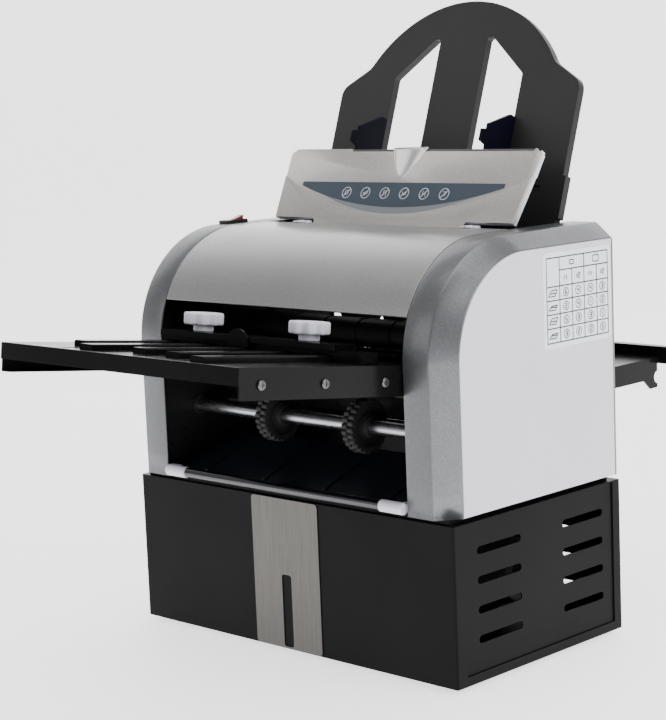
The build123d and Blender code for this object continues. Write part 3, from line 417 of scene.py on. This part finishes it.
def gridSkin(bm, rows, material=0):
    grid = [[bm.verts.new(point) for point in row] for row in rows]
    for first, second in zip(grid, grid[1:]):
        for i in range(len(first) - 1):
            face = bm.faces.new((first[i], first[i + 1], second[i + 1], second[i]))
            face.material_index = material


def insetLine(amount):
    s = hoodShape
    return hoodLine(s["front"] + amount, s["top"] - amount, s["radius"] - amount, s["back"] - amount,
                    s["bottom"])


def bevelLine(share):
    s = hoodShape
    return hoodLine(s["front"] + (s["panelFront"] - s["front"]) * share,
                    s["top"] + (s["panelTop"] - s["top"]) * share,
                    s["radius"] + (s["panelRadius"] - s["radius"]) * share, s["back"], s["bottom"])


def makeCover(side, name, node):
    s = hoodShape
    bm = bmesh.new()
    rows = []
    roll = s["seamRoll"]
    for angle in (90, 60, 30, 0):
        drop = roll * (1 - math.cos(math.radians(angle)))
        out = roll * (1 - math.sin(math.radians(angle)))
        rows.append((s["bay"] + out, insetLine(drop), 0))
    rows.append((s["bay"] + 12, insetLine(0), 0))
    rows.append((s["band"] - 1.6, insetLine(0), 0))
    rows.append((s["band"] - 0.2, bevelLine(0.02), 0))
    rows.append((s["band"] + 1.0, bevelLine(0.075), 1))
    for share in (0.25, 0.5, 0.75):
        rows.append((s["band"] + (s["half"] - s["band"]) * share, bevelLine(share), 1))
    rows.append((s["half"] - 1.0, bevelLine(0.95), 1))
    rows.append((s["half"] - 0.3, bevelLine(0.985), 1))
    points = [[(side * x, y, z) for y, z in line] for x, line, _ in rows]
    grid = [[bm.verts.new(point) for point in row] for row in points]
    for index, (first, second) in enumerate(zip(grid, grid[1:])):
        for i in range(len(first) - 1):
            corners = (first[i], first[i + 1], second[i + 1], second[i])
            face = bm.faces.new(corners if side < 0 else corners[::-1])
            face.material_index = rows[index + 1][2]
    piece = finishPiece(name, bm, upright, "machine", ["bandSilver", "bevelSilver"], [node],
                        sharp=50.0, recalc=False)
    wall = piece.modifiers.new("wall", "SOLIDIFY")
    wall.thickness = s["wall"] / 1000
    wall.offset = -1
    wall.use_even_offset = True
    return piece


makeCover(1, "coverRight", "cover_right")
makeCover(-1, "coverLeft", "cover_left")


def makePanel(side, name, node):
    s = hoodShape
    bm = bmesh.new()
    edge = 0.35
    line = hoodLine(s["panelFront"] + edge, s["panelTop"] - edge, s["panelRadius"] - edge,
                    s["back"] - edge, s["bottom"])
    faceX = s["half"] - 0.4
    addPlate(bm, [(y, z) for y, z in line], "x", side * (faceX - 2.0), side * faceX, 0.0)
    finishPiece(name, bm, upright, "machine", ["panelWhite"], [node], bevel=0.8)


makePanel(1, "whitePanelRight", "side_panel_right")
makePanel(-1, "whitePanelLeft", "side_panel_left")

curtain = {"bottom": 344.6, "back": 152.0, "half": 164.7, "wall": 2.6}


def makeTopCover():
    s, c = hoodShape, curtain
    centreY, centreZ = s["front"] + s["radius"], s["top"] - s["radius"]
    start = 180 - math.degrees(math.asin((c["bottom"] - centreZ) / s["radius"]))
    bm = bmesh.new()
    line = arcPoints((centreY, centreZ), s["radius"], start, 90, 56)
    line += [(centreY + (c["back"] - centreY) * i / 8, s["top"]) for i in range(1, 9)]
    stations = [-c["half"], -c["half"] + 2] + [-150 + 30 * i for i in range(11)] + [c["half"] - 2, c["half"]]
    rows = [[(x, y, z) for y, z in line] for x in stations]
    gridSkin(bm, [row[::-1] for row in rows])
    piece = finishPiece("frontCover", bm, upright, "machine", ["hoodSilver"], ["top_cover"],
                        sharp=60.0, recalc=False)
    wall = piece.modifiers.new("wall", "SOLIDIFY")
    wall.thickness = c["wall"] / 1000
    wall.offset = -1
    softEdges(piece, 0.7)


makeTopCover()
print("hood done")


# Feed lid.
lidShape = {"half": 162.0, "wide": 167.5, "topHalf": 170.5, "cornerHalf": 163.0, "wideHeight": 48.0,
            "shoulder": 75.5, "height": 81.0, "fieldDepth": 1.5, "creaseSide": 48.8,
            "creaseMiddle": 6.5, "recessLeft": -82.0, "recessRight": 160.0, "recessDepth": 3.0,
            "scoopMiddle": -1.5, "scoopHalf": 21.0, "scoopTip": 47.7, "hingeHalf": 103.0}


def arcShape(halfWidth, top, low, steps=48):
    sag = top - low
    radius = (halfWidth ** 2 + sag ** 2) / (2 * sag)
    points = []
    for i in range(steps + 1):
        x = halfWidth - 2 * halfWidth * i / steps
        points.append((x, low + radius - math.sqrt(radius * radius - x * x)))
    return points


def scoopHalfWidth(share):
    s = lidShape
    return max(0.6, s["scoopHalf"] * share ** 0.6)


def makeLid():
    s = lidShape
    mid, top, tip = s["scoopMiddle"], s["height"], s["scoopTip"]
    low = top - s["recessDepth"]
    bm = bmesh.new()
    levels = [(1 - i / 14) ** 1.6 for i in range(15)]
    notch = [(mid + scoopHalfWidth(share), tip + (low - tip) * share) for share in levels]
    notch += [(mid - scoopHalfWidth(share), tip + (low - tip) * share) for share in levels[::-1]]
    field = [(-s["half"], 0.4), (s["half"], 0.4), (s["wide"], s["wideHeight"]), (s["topHalf"], s["shoulder"]),
             (s["cornerHalf"], top), (s["recessRight"] + 1.5, top), (s["recessRight"], low), *notch,
             (s["recessLeft"], low), (s["recessLeft"] - 1.5, top), (-s["cornerHalf"], top),
             (-s["topHalf"], s["shoulder"]), (-s["wide"], s["wideHeight"])]
    addPlate(bm, field, "y", s["fieldDepth"], 4.2, 0.4)
    raised = [(-s["half"], 0), (-105, 0), (-s["hingeHalf"], -2), (-s["hingeHalf"], -9.5),
              (s["hingeHalf"], -9.5), (s["hingeHalf"], -2), (105, 0), (s["half"], 0)]
    raised += arcShape(s["wide"], s["creaseSide"], s["creaseMiddle"])
    addPlate(bm, raised, "y", 0.0, 1.9, 1.2, 3)
    for side in (1, -1):
        wall = [(side * (s["half"] - 2.2), 0.6), (side * (s["half"] - 0.3), 0.6),
                (side * (s["wide"] - 0.3), s["wideHeight"]), (side * (s["topHalf"] - 0.3), s["shoulder"] - 0.5),
                (side * (s["topHalf"] - 2.4), s["shoulder"] - 0.5), (side * (s["wide"] - 2.4), s["wideHeight"])]
        addPlate(bm, wall, "y", 4.0, 8.4, 0.5, material=1)
        flap = [(4.0, 50), (8.8, 52), (10.4, s["shoulder"]), (9.0, s["height"] - 1.5), (4.0, s["height"] - 1.5)]
        addPlate(bm, flap, "x", side * (s["topHalf"] - 4.4), side * (s["topHalf"] - 2.4), 0.5, material=1)
    addBlock(bm, -s["half"] + 1, s["half"] - 1, 1.6, 6.9, 0.2, 2.4, 0.4, material=1)
    addBlock(bm, -s["hingeHalf"], s["hingeHalf"], 1.4, 4.6, -10.4, 0.4, 0.5)
    addLathe(bm, [(0, 0), (2.8, 0), (2.8, 2 * s["hingeHalf"]), (0, 2 * s["hingeHalf"])],
             (-s["hingeHalf"], 2.25, -9.06), "x", 28)
    finishPiece("lidShell", bm, onLid, "lid", ["lidSilver", "lidEdge"], ["lid_panel"], sharp=28.0)


def makeScoop():
    s = lidShape
    mid, tip, low = s["scoopMiddle"], s["scoopTip"], s["height"] - s["recessDepth"]
    bm = bmesh.new()
    rows = []
    levels = 18
    for level in range(levels + 1):
        share = 1.12 * (level / levels) ** 1.6
        radius = scoopHalfWidth(share) + 0.3
        z = tip - 0.4 + (low + 0.4 - tip) * share
        row = []
        for step in range(29):
            depth = radius * 0.45 * math.sin(math.pi * step / 28)
            x = mid + radius * math.cos(math.pi * step / 28)
            row.append((x, 2.0 + depth, z + 0.62 * depth * level / levels))
        rows.append(row)
    gridSkin(bm, rows)
    piece = finishPiece("lidScoop", bm, onLid, "lid", ["scoopSilver"], sharp=60.0, recalc=False)
    wall = piece.modifiers.new("wall", "SOLIDIFY")
    wall.thickness = 0.0008
    wall.offset = 0
    return piece


def makeLidLiner():
    s = lidShape
    bm = bmesh.new()
    mid, wide, top = s["scoopMiddle"], s["scoopHalf"] + 1.2, s["height"]
    # The back lip standing above the lid's top edge is coloured dark grey as painted shade; the gussets keep the
    # silver.
    addBlock(bm, -158, mid - wide, 4.4, 7.2, top - 18, top + 0.9, 0.6)
    addBlock(bm, mid + wide, 159, 4.4, 7.2, top - 18, top + 0.9, 0.6)
    for x in (26, 146):
        addPlate(bm, [(x - 7, top - 4), (x + 7, top - 4), (x + 3.5, top - 0.6), (x - 3.5, top - 0.6)],
                 "y", 3.0, 5.2, 0.8, material=1)
    finishPiece("lidLiner", bm, onLid, "lid", ["linerPaintedShade", "bandSilver"], ["lid_liner"])


marks = {"count": 6, "first": -69.5, "pitch": 26.8, "height": 30.3, "radius": 6.4, "line": 0.75}


def addRing(bm, x, z, outer, line, y0, y1, steps=36, material=0, stretch=1.0):
    inner = outer - line
    loops = []
    for radius, y in ((outer, y0), (outer, y1), (inner, y1), (inner, y0)):
        loops.append([bm.verts.new((x + radius * math.cos(2 * math.pi * i / steps) * stretch, y,
                                    z + radius * math.sin(2 * math.pi * i / steps))) for i in range(steps)])
    for index in range(4):
        first, second = loops[index], loops[(index + 1) % 4]
        for i in range(steps):
            face = bm.faces.new((first[i], first[(i + 1) % steps], second[(i + 1) % steps], second[i]))
            face.material_index = material


def addStroke(bm, x0, z0, x1, z1, line, y0, y1, material=0):
    length = math.hypot(x1 - x0, z1 - z0)
    nx, nz = -(z1 - z0) / length * line / 2, (x1 - x0) / length * line / 2
    addPlate(bm, [(x0 + nx, z0 + nz), (x0 - nx, z0 - nz), (x1 - nx, z1 - nz), (x1 + nx, z1 + nz)],
             "y", y0, y1, 0.0, material=material)


def makeLidLabel():
    bm = bmesh.new()
    depth = lidShape["fieldDepth"]
    # Painted shade: this band between the crease and the slate stands in for the crease's shading; it is not
    # printed.
    creaseShadeBand = arcShape(120, 35.2, 7.9) + arcShape(120, 35.6, 15.2)[::-1]
    addPlate(bm, creaseShadeBand, "y", depth - 0.25, depth + 0.2, 0.0, material=1)
    slate = arcShape(138, 38, 14.8) + [(-138, 42.4), (138, 42.4)]
    addPlate(bm, slate, "y", depth - 0.4, depth + 0.2, 0.0)
    m = marks
    glyphs = [[(-2, -2.5, -2, 2), (-2, 2, 2, 2.6), (2, -2, 2, 2.6), (-2, -2.5, 2, -2)],
              [(-3, 0, 3, 1.4), (-3, 0, -1, -2.6), (-1, -2.6, 2.6, -0.6), (3, 1.4, 2.6, -0.6)],
              [(-1.6, -3, -1.6, 3), (-1.6, 3, 1.8, 2), (1.8, 2, 1.8, -3.4)],
              [(-3, 2, 0, -2), (0, -2, 3, 2), (-3, -1, 3, -1)],
              [(-1.8, -3, -1.8, 3), (1.8, -3, 1.8, 3), (-1.8, 0, 1.8, 0)],
              [(-2.4, 2.4, 2.6, 2.4), (2.6, 2.4, 0, -2.6)]]
    for index in range(m["count"]):
        x = m["first"] + index * m["pitch"]
        addRing(bm, x, m["height"], m["radius"], m["line"], depth - 0.55, depth - 0.35, material=2)
        reach = (m["radius"] - 0.4) * 0.707
        addStroke(bm, x - reach, m["height"] - reach, x + reach, m["height"] + reach, m["line"],
                  depth - 0.55, depth - 0.35, 2)
        for x0, z0, x1, z1 in glyphs[index]:
            addStroke(bm, x + x0, m["height"] + z0, x + x1, m["height"] + z1, 0.55, depth - 0.53,
                      depth - 0.35, 2)
    finishPiece("lidLabel", bm, onLid, "lid", ["slate", "paintedCreaseShade", "inkLight"], ["lid_label"])


makeLid()
makeScoop()
makeLidLiner()
makeLidLabel()


def makeClips():
    bm = bmesh.new()
    for side in (1, -1):
        addBlock(bm, side * 106, side * 124, 152.4, 161.3, 402, 413.6, 1.8, 3)
        addBlock(bm, side * 108, side * 122, 147, 154, 412.0, 413.8, 0.8, 3)
        addBlock(bm, side * 113, side * 117, 146.6, 156, 412.4, 414.4, 0.5, 2)
        addLathe(bm, [(0, 0), (1.5, 0), (1.5, 16), (0, 16)], (side * 100 - 8, 158, 407.5), "x", 20)
    finishPiece("hingeClips", bm, upright, "machine", ["clipWhite"], ["lid_clips"], sharp=35.0)


makeClips()
print("lid done")


# Printed fold chart on the right side panel.
chart = {"columns": [144.5, 164.3, 183.7, 202.7, 222.7, 240.6],
         "rows": [385.9, 373.6, 358.6, 345.5, 332.3, 319.1, 305.3], "line": 1.1,
         "border": 5.0, "corner": 5.0}


def makeChart():
    c = chart
    columns, rows, face = c["columns"], c["rows"], hoodShape["half"]
    bm = bmesh.new()
    y0, y1 = columns[0] - c["border"], columns[-1] + c["border"]
    z0, z1 = rows[-1] - c["border"], rows[0] + c["border"]
    r = c["corner"]
    outline = []
    centres = ((y1 - r, z1 - r, 0), (y0 + r, z1 - r, 90), (y0 + r, z0 + r, 180), (y1 - r, z0 + r, 270))
    for cy, cz, angle in centres:
        outline += arcPoints((cy, cz), r, angle, angle + 90, 6)
    addPlate(bm, outline, "x", face - 0.45, face - 0.12)

    def line(ya, yb, za, zb):
        addBlock(bm, face - 0.2, face - 0.04, ya - c["line"] / 2, yb + c["line"] / 2,
                 za - c["line"] / 2, zb + c["line"] / 2, material=1)
    for index, z in enumerate(rows):
        line(columns[1] if index == 1 else columns[0], columns[-1], z, z)
    for index, y in enumerate(columns):
        top = rows[0] if index in (0, 1, 3, 5) else rows[1]
        line(y, y, rows[-1], top)

    def stroke(ya, za, yb, zb, width=1.0):
        length = math.hypot(yb - ya, zb - za)
        ny, nz = -(zb - za) / length * width / 2, (yb - ya) / length * width / 2
        addPlate(bm, [(ya + ny, za + nz), (ya - ny, za - nz), (yb - ny, zb - nz), (yb + ny, zb + nz)],
                 "x", face - 0.2, face - 0.03, material=1)

    def circle(y, z, radius):
        steps = 20
        for i in range(steps):
            a, b = 2 * math.pi * i / steps, 2 * math.pi * (i + 1) / steps
            stroke(y + radius * math.cos(a), z + radius * math.sin(a),
                   y + radius * math.cos(b), z + radius * math.sin(b), 0.8)
    digits = {1: [(0, -1, 0, 1)],
              2: [(-.6, 1, .6, 1), (.6, 1, .6, 0), (.6, 0, -.6, 0), (-.6, 0, -.6, -1), (-.6, -1, .6, -1)],
              3: [(-.6, 1, .6, 1), (.6, 1, .6, -1), (-.6, 0, .6, 0), (-.6, -1, .6, -1)],
              4: [(-.6, 1, -.6, 0), (-.6, 0, .6, 0), (.6, 1, .6, -1)],
              5: [(.6, 1, -.6, 1), (-.6, 1, -.6, 0), (-.6, 0, .6, 0), (.6, 0, .6, -1), (.6, -1, -.6, -1)],
              6: [(.6, 1, -.6, 1), (-.6, 1, -.6, -1), (-.6, -1, .6, -1), (.6, -1, .6, 0), (.6, 0, -.6, 0)]}

    def digit(value, y, z, size):
        for ya, za, yb, zb in digits[value]:
            stroke(y + ya * size, z + za * size, y + yb * size, z + zb * size, 1.0)
    table = [[6, 4, 4, 3], [2, 4, 1, 2], [5, 3, 3, 1], [3, 2, 2, 5]]
    for row, values in enumerate(table):
        z = (rows[row + 2] + rows[row + 3]) / 2
        for column, value in enumerate(values):
            y = (columns[column + 1] + columns[column + 2]) / 2
            circle(y, z, 4.1)
            digit(value, y, z, 2.0)
        y = (columns[0] + columns[1]) / 2
        lean = 2.0 if row % 2 else 3.5
        stroke(y - 7, z - 2.5, y + 3, z - 2.5)
        stroke(y + 3, z - 2.5, y + 6, z + lean)
        stroke(y + 6, z + lean, y - 3, z + lean - 0.6)
        stroke(y - 3, z + lean - 0.6, y - 7, z - 2.5)
        stroke(y - 5, z + 0.2, y + 4.6, z + 0.2)
    for index in range(4):
        y = (columns[index + 1] + columns[index + 2]) / 2
        z = (rows[1] + rows[2]) / 2
        digit(1 + index % 2, y + 1.6, z, 2.4)
        for offset in (-2.6, -1.2):
            stroke(y + offset, z - 2.2, y + offset + 0.4, z + 2.2, 0.35)
        stroke(y - 3.4, z + 0.8, y - 0.2, z + 0.8, 0.35)
        stroke(y - 3.4, z - 0.8, y - 0.2, z - 0.8, 0.35)
    for left, width, height in ((1, 6, 4), (3, 9, 6)):
        y, z = (columns[left] + columns[left + 2]) / 2, (rows[0] + rows[1]) / 2
        for ya, za, yb, zb in ((-1, -1, 1, -1), (1, -1, 1, 1), (1, 1, -1, 1), (-1, 1, -1, -1)):
            stroke(y + ya * width / 2, z + za * height / 2, y + yb * width / 2, z + zb * height / 2)
    finishPiece("foldChart", bm, upright, "machine", ["labelWhite", "inkGrey"], ["chart_label"], sharp=60.0)


makeChart()
print("chart done")


# Star knobs.
knobShape = {"radius": 17.7, "lobe": 1.8, "lobes": 8, "low": 6.5, "high": 18.7, "soft": 2.2}


def makeKnob(name, place, x, y, z, body, node, stud):
    k = knobShape
    bm = bmesh.new()
    outline = []
    steps = 96
    for i in range(steps):
        angle = 2 * math.pi * i / steps
        wave = math.cos(k["lobes"] * angle)
        radius = k["radius"] + k["lobe"] * (wave if wave > 0 else wave * 1.35)
        outline.append((x + radius * math.cos(angle), y + radius * math.sin(angle)))
    addPlate(bm, outline, "z", z + k["low"], z + k["high"], k["soft"], 4)
    addLathe(bm, [(0, -stud), (2.6, -stud), (3.0, -stud + 0.6), (3.0, 0.0), (9.0, 0.2), (9.8, 0.9), (10.0, 2.0),
                  (10.0, 6.2), (10.8, 7.4), (0, 7.4)], (x, y, z), "z", 48)
    addLathe(bm, [(0, 18.0), (11.2, 18.0), (11.8, 18.7), (12.7, 18.8), (13.2, 18.3), (13.2, 17.0), (0, 17.0)],
             (x, y, z), "z", 48)
    finishPiece(name, bm, place, body, ["knobWhite"], [node], sharp=40.0)


makeKnob("starKnobLeft", onTray, -72.6, -33.0, 16.0, "left_knob", "knob_left", 11.5)
makeKnob("starKnobRight", onTray, 72.6, -33.0, 16.0, "right_knob", "knob_right", 11.5)
makeKnob("starKnobRear", onRear, 0.0, 300.0, 10.5, "back_knob", "rear_knob", 8.5)


# Knurled exit wheels.
wheelShape = {"lumps": 24, "half": 7.0, "places": (-51.5, 67.5), "y": 45.906, "z": 228.778,
              "low": 24.4, "high": 26.9, "groove": 24.2}


def makeWheels():
    w = wheelShape
    bm = bmesh.new()
    for x in w["places"]:
        rows = []
        for shift in (0.0, 0.5):
            outline = []
            for lump in range(w["lumps"]):
                for step in range(6):
                    swell = math.sin(math.pi * step / 6) ** 0.6
                    outline.append((2 * math.pi * (lump + shift + step / 6) / w["lumps"],
                                    w["low"] + (w["high"] - w["low"]) * swell))
            rows.append(outline)
        addTyre(bm, rows, x)
        addLathe(bm, [(7.25, -7), (10, -7), (10.5, -6.5), (10.5, -4.5), (19.8, -4), (20.2, -5.6), (20.9, -5.6),
                      (20.9, 5.6), (20.2, 5.6), (19.8, 4), (13, 4), (12.8, 6.6), (11, 7), (10.5, 10.4), (9.9, 11),
                      (7.25, 11), (7.25, -7)], (x, w["y"], w["z"]), "x", 48)
    finishPiece("exitWheels", bm, upright, "exit_rollers", ["wheelRubber"], ["exit_wheels"], sharp=35.0)


def addTyre(bm, rows, x):
    w = wheelShape
    half = w["half"]
    count = len(rows[0])

    def ring(outline, place, shrink=1.0, radius=None):
        return [bm.verts.new((x + place, w["y"] + (radius or r * shrink) * math.cos(a),
                              w["z"] + (radius or r * shrink) * math.sin(a))) for a, r in outline]
    first, second = rows
    loops = [ring(first, -half, radius=20.0), ring(first, -half, 0.965), ring(first, -half + 0.9),
             ring(first, -0.8), ring(first, -0.2, 0.97), ring(first, 0.0, radius=w["groove"]),
             ring(first, 0.2, radius=w["groove"])]
    loops += [ring(second, 0.2, radius=w["groove"]), ring(second, 0.4, 0.97), ring(second, 0.9),
              ring(second, half - 0.9), ring(second, half, 0.965), ring(second, half, radius=20.0)]
    slip = 3
    for index in range(len(loops)):
        start, end = loops[index], loops[(index + 1) % len(loops)]
        turn = {6: -slip, 12: slip}.get(index, 0)
        for i in range(count):
            bm.faces.new((start[i], start[(i + 1) % count], end[(i + 1 + turn) % count],
                          end[(i + turn) % count]))


makeWheels()
print("knobs and wheels done")


# Power switch rocker.
def makeRocker():
    bm = bmesh.new()
    x, y, top = -190.0, 125.5, 412.0
    outline = [(y - 10.4, top - 4.8), (y + 10.4, top - 0.6), (y + 11.0, top + 8.0)]
    outline += [(y + 11.0 - 22.0 * i / 10, top + 8.0 - 4.2 * math.sin(math.pi / 2 * i / 10) ** 0.9)
                for i in range(1, 11)]
    addPlate(bm, outline, "x", x - 4.2, x + 4.2, 0.6)
    finishPiece("rockerKey", bm, upright, "rocker", ["rockerRed"], ["switch_rocker"], sharp=35.0)


makeRocker()


# Painted shade: a dark sheet behind the vents of the rear cover, standing in for the shade inside the machine.
def makeVentShadeSheet():
    bm = bmesh.new()
    addBlock(bm, -160, 160, 245.6, 246.4, 306, 396, 0.3)
    finishPiece("ventShadeSheet", bm, upright, "machine", ["frameBlack"], sharp=35.0)


makeVentShadeSheet()


# The other CAD nodes keep their own shape, with softened edges.
dressing = {
    "cabinetBlack": (["base_shell", "base_side_left", "base_side_right", "base_back", "base_top"], 0.5),
    "kickSteel": (["kick_plate"], 0.25),
    "footRubber": (["base_feet"], 0.6),
    "switchBlack": (["switch_bezel", "mains_inlet"], 0.6),
    "motorGrey": (["motor"], 0.6),
    "screwSteel": (["motor_pulley", "front_screws"], 0.15),
    "wheelRubber": (["drive_belt", "feed_roller"], 0.2),
    "boardGreen": (["control_board"], 0.3),
    "frameBlack": (["side_plate_left", "side_plate_right", "plate_guides", "rear_cover"], 0.4),
    "bushBlack": (["bushes"], 0.2),
    "shaftSteel": (["tie_bars", "exit_shaft"], 0.3),
    "barSteel": (["exit_bar"], 0.3),
    "supportBlack": (["support", "feed_table"], 0.7),
    "guideBlack": (["guide_left", "guide_right"], 0.5),
    "gearWhite": (["idler_gear"], 0.15),
    "padBrown": (["separator_pad"], 0.3),
    "rollerDark": (["fold_roller_1", "fold_roller_2", "fold_roller_3", "fold_roller_4"], 0.2),
    "deckBlack": (["exit_deck"], 0.3),
    "clipWhite": (["exit_sleeves"], 0.3),
    "plateBlack": (["front_sheet", "front_under_sheet", "front_rails", "front_ribs", "stop_comb", "stop_bar",
                    "rear_sheet", "rear_under_sheet", "rear_rails", "rear_stop"], 0.4),
}
for look, (names, width) in dressing.items():
    for nodeName in names:
        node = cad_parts[nodeName]
        node.data.materials.clear()
        node.data.materials.append(materials[look])
        softEdges(node, width)
print("CAD nodes dressed")


# Floor, backdrop, lights and camera.
studio = {"floorTone": 0.9, "floorGlow": 1.6, "keyPower": 50.0, "fillPower": 12.0, "topPower": 25.0,
          "world": 0.5, "azimuth": 44.3}
# In metres from the part's centre, along the camera's direction.
paper = {"nearEdge": 4.0, "curveStart": 1.6, "curveRadius": 1.2, "wallTop": 4.0, "sink": 0.0002,
         "curveSteps": 16, "columns": (4.5, 1.5, -1.5, -4.5)}


# The paper is clear from its back, so that a camera behind the wall still sees the machine.
def clearFromBehind(material):
    nodes, links = material.node_tree.nodes, material.node_tree.links
    output = next(node for node in nodes if node.type == "OUTPUT_MATERIAL")
    face = output.inputs["Surface"].links[0].from_socket
    mix = nodes.new("ShaderNodeMixShader")
    links.new(nodes.new("ShaderNodeNewGeometry").outputs["Backfacing"], mix.inputs[0])
    links.new(face, mix.inputs[1])
    links.new(nodes.new("ShaderNodeBsdfTransparent").outputs["BSDF"], mix.inputs[2])
    links.new(mix.outputs[0], output.inputs["Surface"])


def makeBackdrop():
    bm = bmesh.new()
    azimuth = math.radians(studio["azimuth"])
    direction = Vector((-math.sin(azimuth), math.cos(azimuth), 0))
    across = Vector((direction.y, -direction.x, 0))
    start, radius, steps = paper["curveStart"], paper["curveRadius"], paper["curveSteps"]
    line = [(-paper["nearEdge"], 0.0), (-2.0, 0.0), (0.0, 0.0), (start, 0.0)]
    for i in range(1, steps + 1):
        angle = math.pi / 2 * i / steps
        line.append((start + radius * math.sin(angle), radius - radius * math.cos(angle)))
    line += [(start + radius, paper["wallTop"])]
    rows = [[(direction * d + across * w + Vector((0, 0, h - paper["sink"])))[:] for d, h in line]
            for w in paper["columns"]]
    gridSkin(bm, rows)
    for face in bm.faces:
        face.smooth = True
    mesh = bpy.data.meshes.new("backdrop")
    bm.to_mesh(mesh)
    bm.free()
    backdrop = bpy.data.objects.new("backdrop", mesh)
    bpy.context.scene.collection.objects.link(backdrop)
    tone = studio["floorTone"]
    mesh.materials.append(handled("backdropPaper", grey(tone), grey(tone * 0.99), 0.6, bump=0.02, specular=0.2,
                                  glow=studio["floorGlow"]))
    clearFromBehind(mesh.materials[0])


def addLight(name, place, aim, sizeX, sizeY, power):
    data = bpy.data.lights.new(name, "AREA")
    data.shape = "RECTANGLE"
    data.size = sizeX
    data.size_y = sizeY
    data.energy = power
    light = bpy.data.objects.new(name, data)
    light.location = place
    light.rotation_euler = (Vector(aim) - Vector(place)).to_track_quat("-Z", "Y").to_euler()
    bpy.context.scene.collection.objects.link(light)


makeBackdrop()
addLight("topSoftbox", (0.2, -0.2, 2.2), (0, 0, 0.2), 2.4, 1.6, studio["topPower"])
addLight("keySoftbox", (2.6, 0.3, 1.5), (0, 0, 0.3), 1.6, 1.6, studio["keyPower"])
addLight("fillSoftbox", (-1.2, -2.6, 1.3), (0, 0, 0.3), 1.6, 1.4, studio["fillPower"])

world = bpy.data.worlds.new("studioWorld")
world.use_nodes = True
world.node_tree.nodes["Background"].inputs["Color"].default_value = (1, 1, 1, 1)
world.node_tree.nodes["Background"].inputs["Strength"].default_value = studio["world"]
bpy.context.scene.world = world

cameraData = bpy.data.cameras.new("camera")
cameraData.lens = 96.34
cameraData.sensor_width = 36.0
camera = bpy.data.objects.new("camera", cameraData)
right, up, back = (0.71937, 0.69349, -0.03983), (-0.07241, 0.13189, 0.98862), (0.69085, -0.70829, 0.14509)
spot = toFrame(1322.4, -1281.2, 561.8)
camera.matrix_world = Matrix(((right[0], up[0], back[0], spot.x), (right[1], up[1], back[1], spot.y),
                              (right[2], up[2], back[2], spot.z), (0, 0, 0, 1)))
bpy.context.scene.collection.objects.link(camera)
bpy.context.scene.camera = camera

bpy.context.view_layer.update()
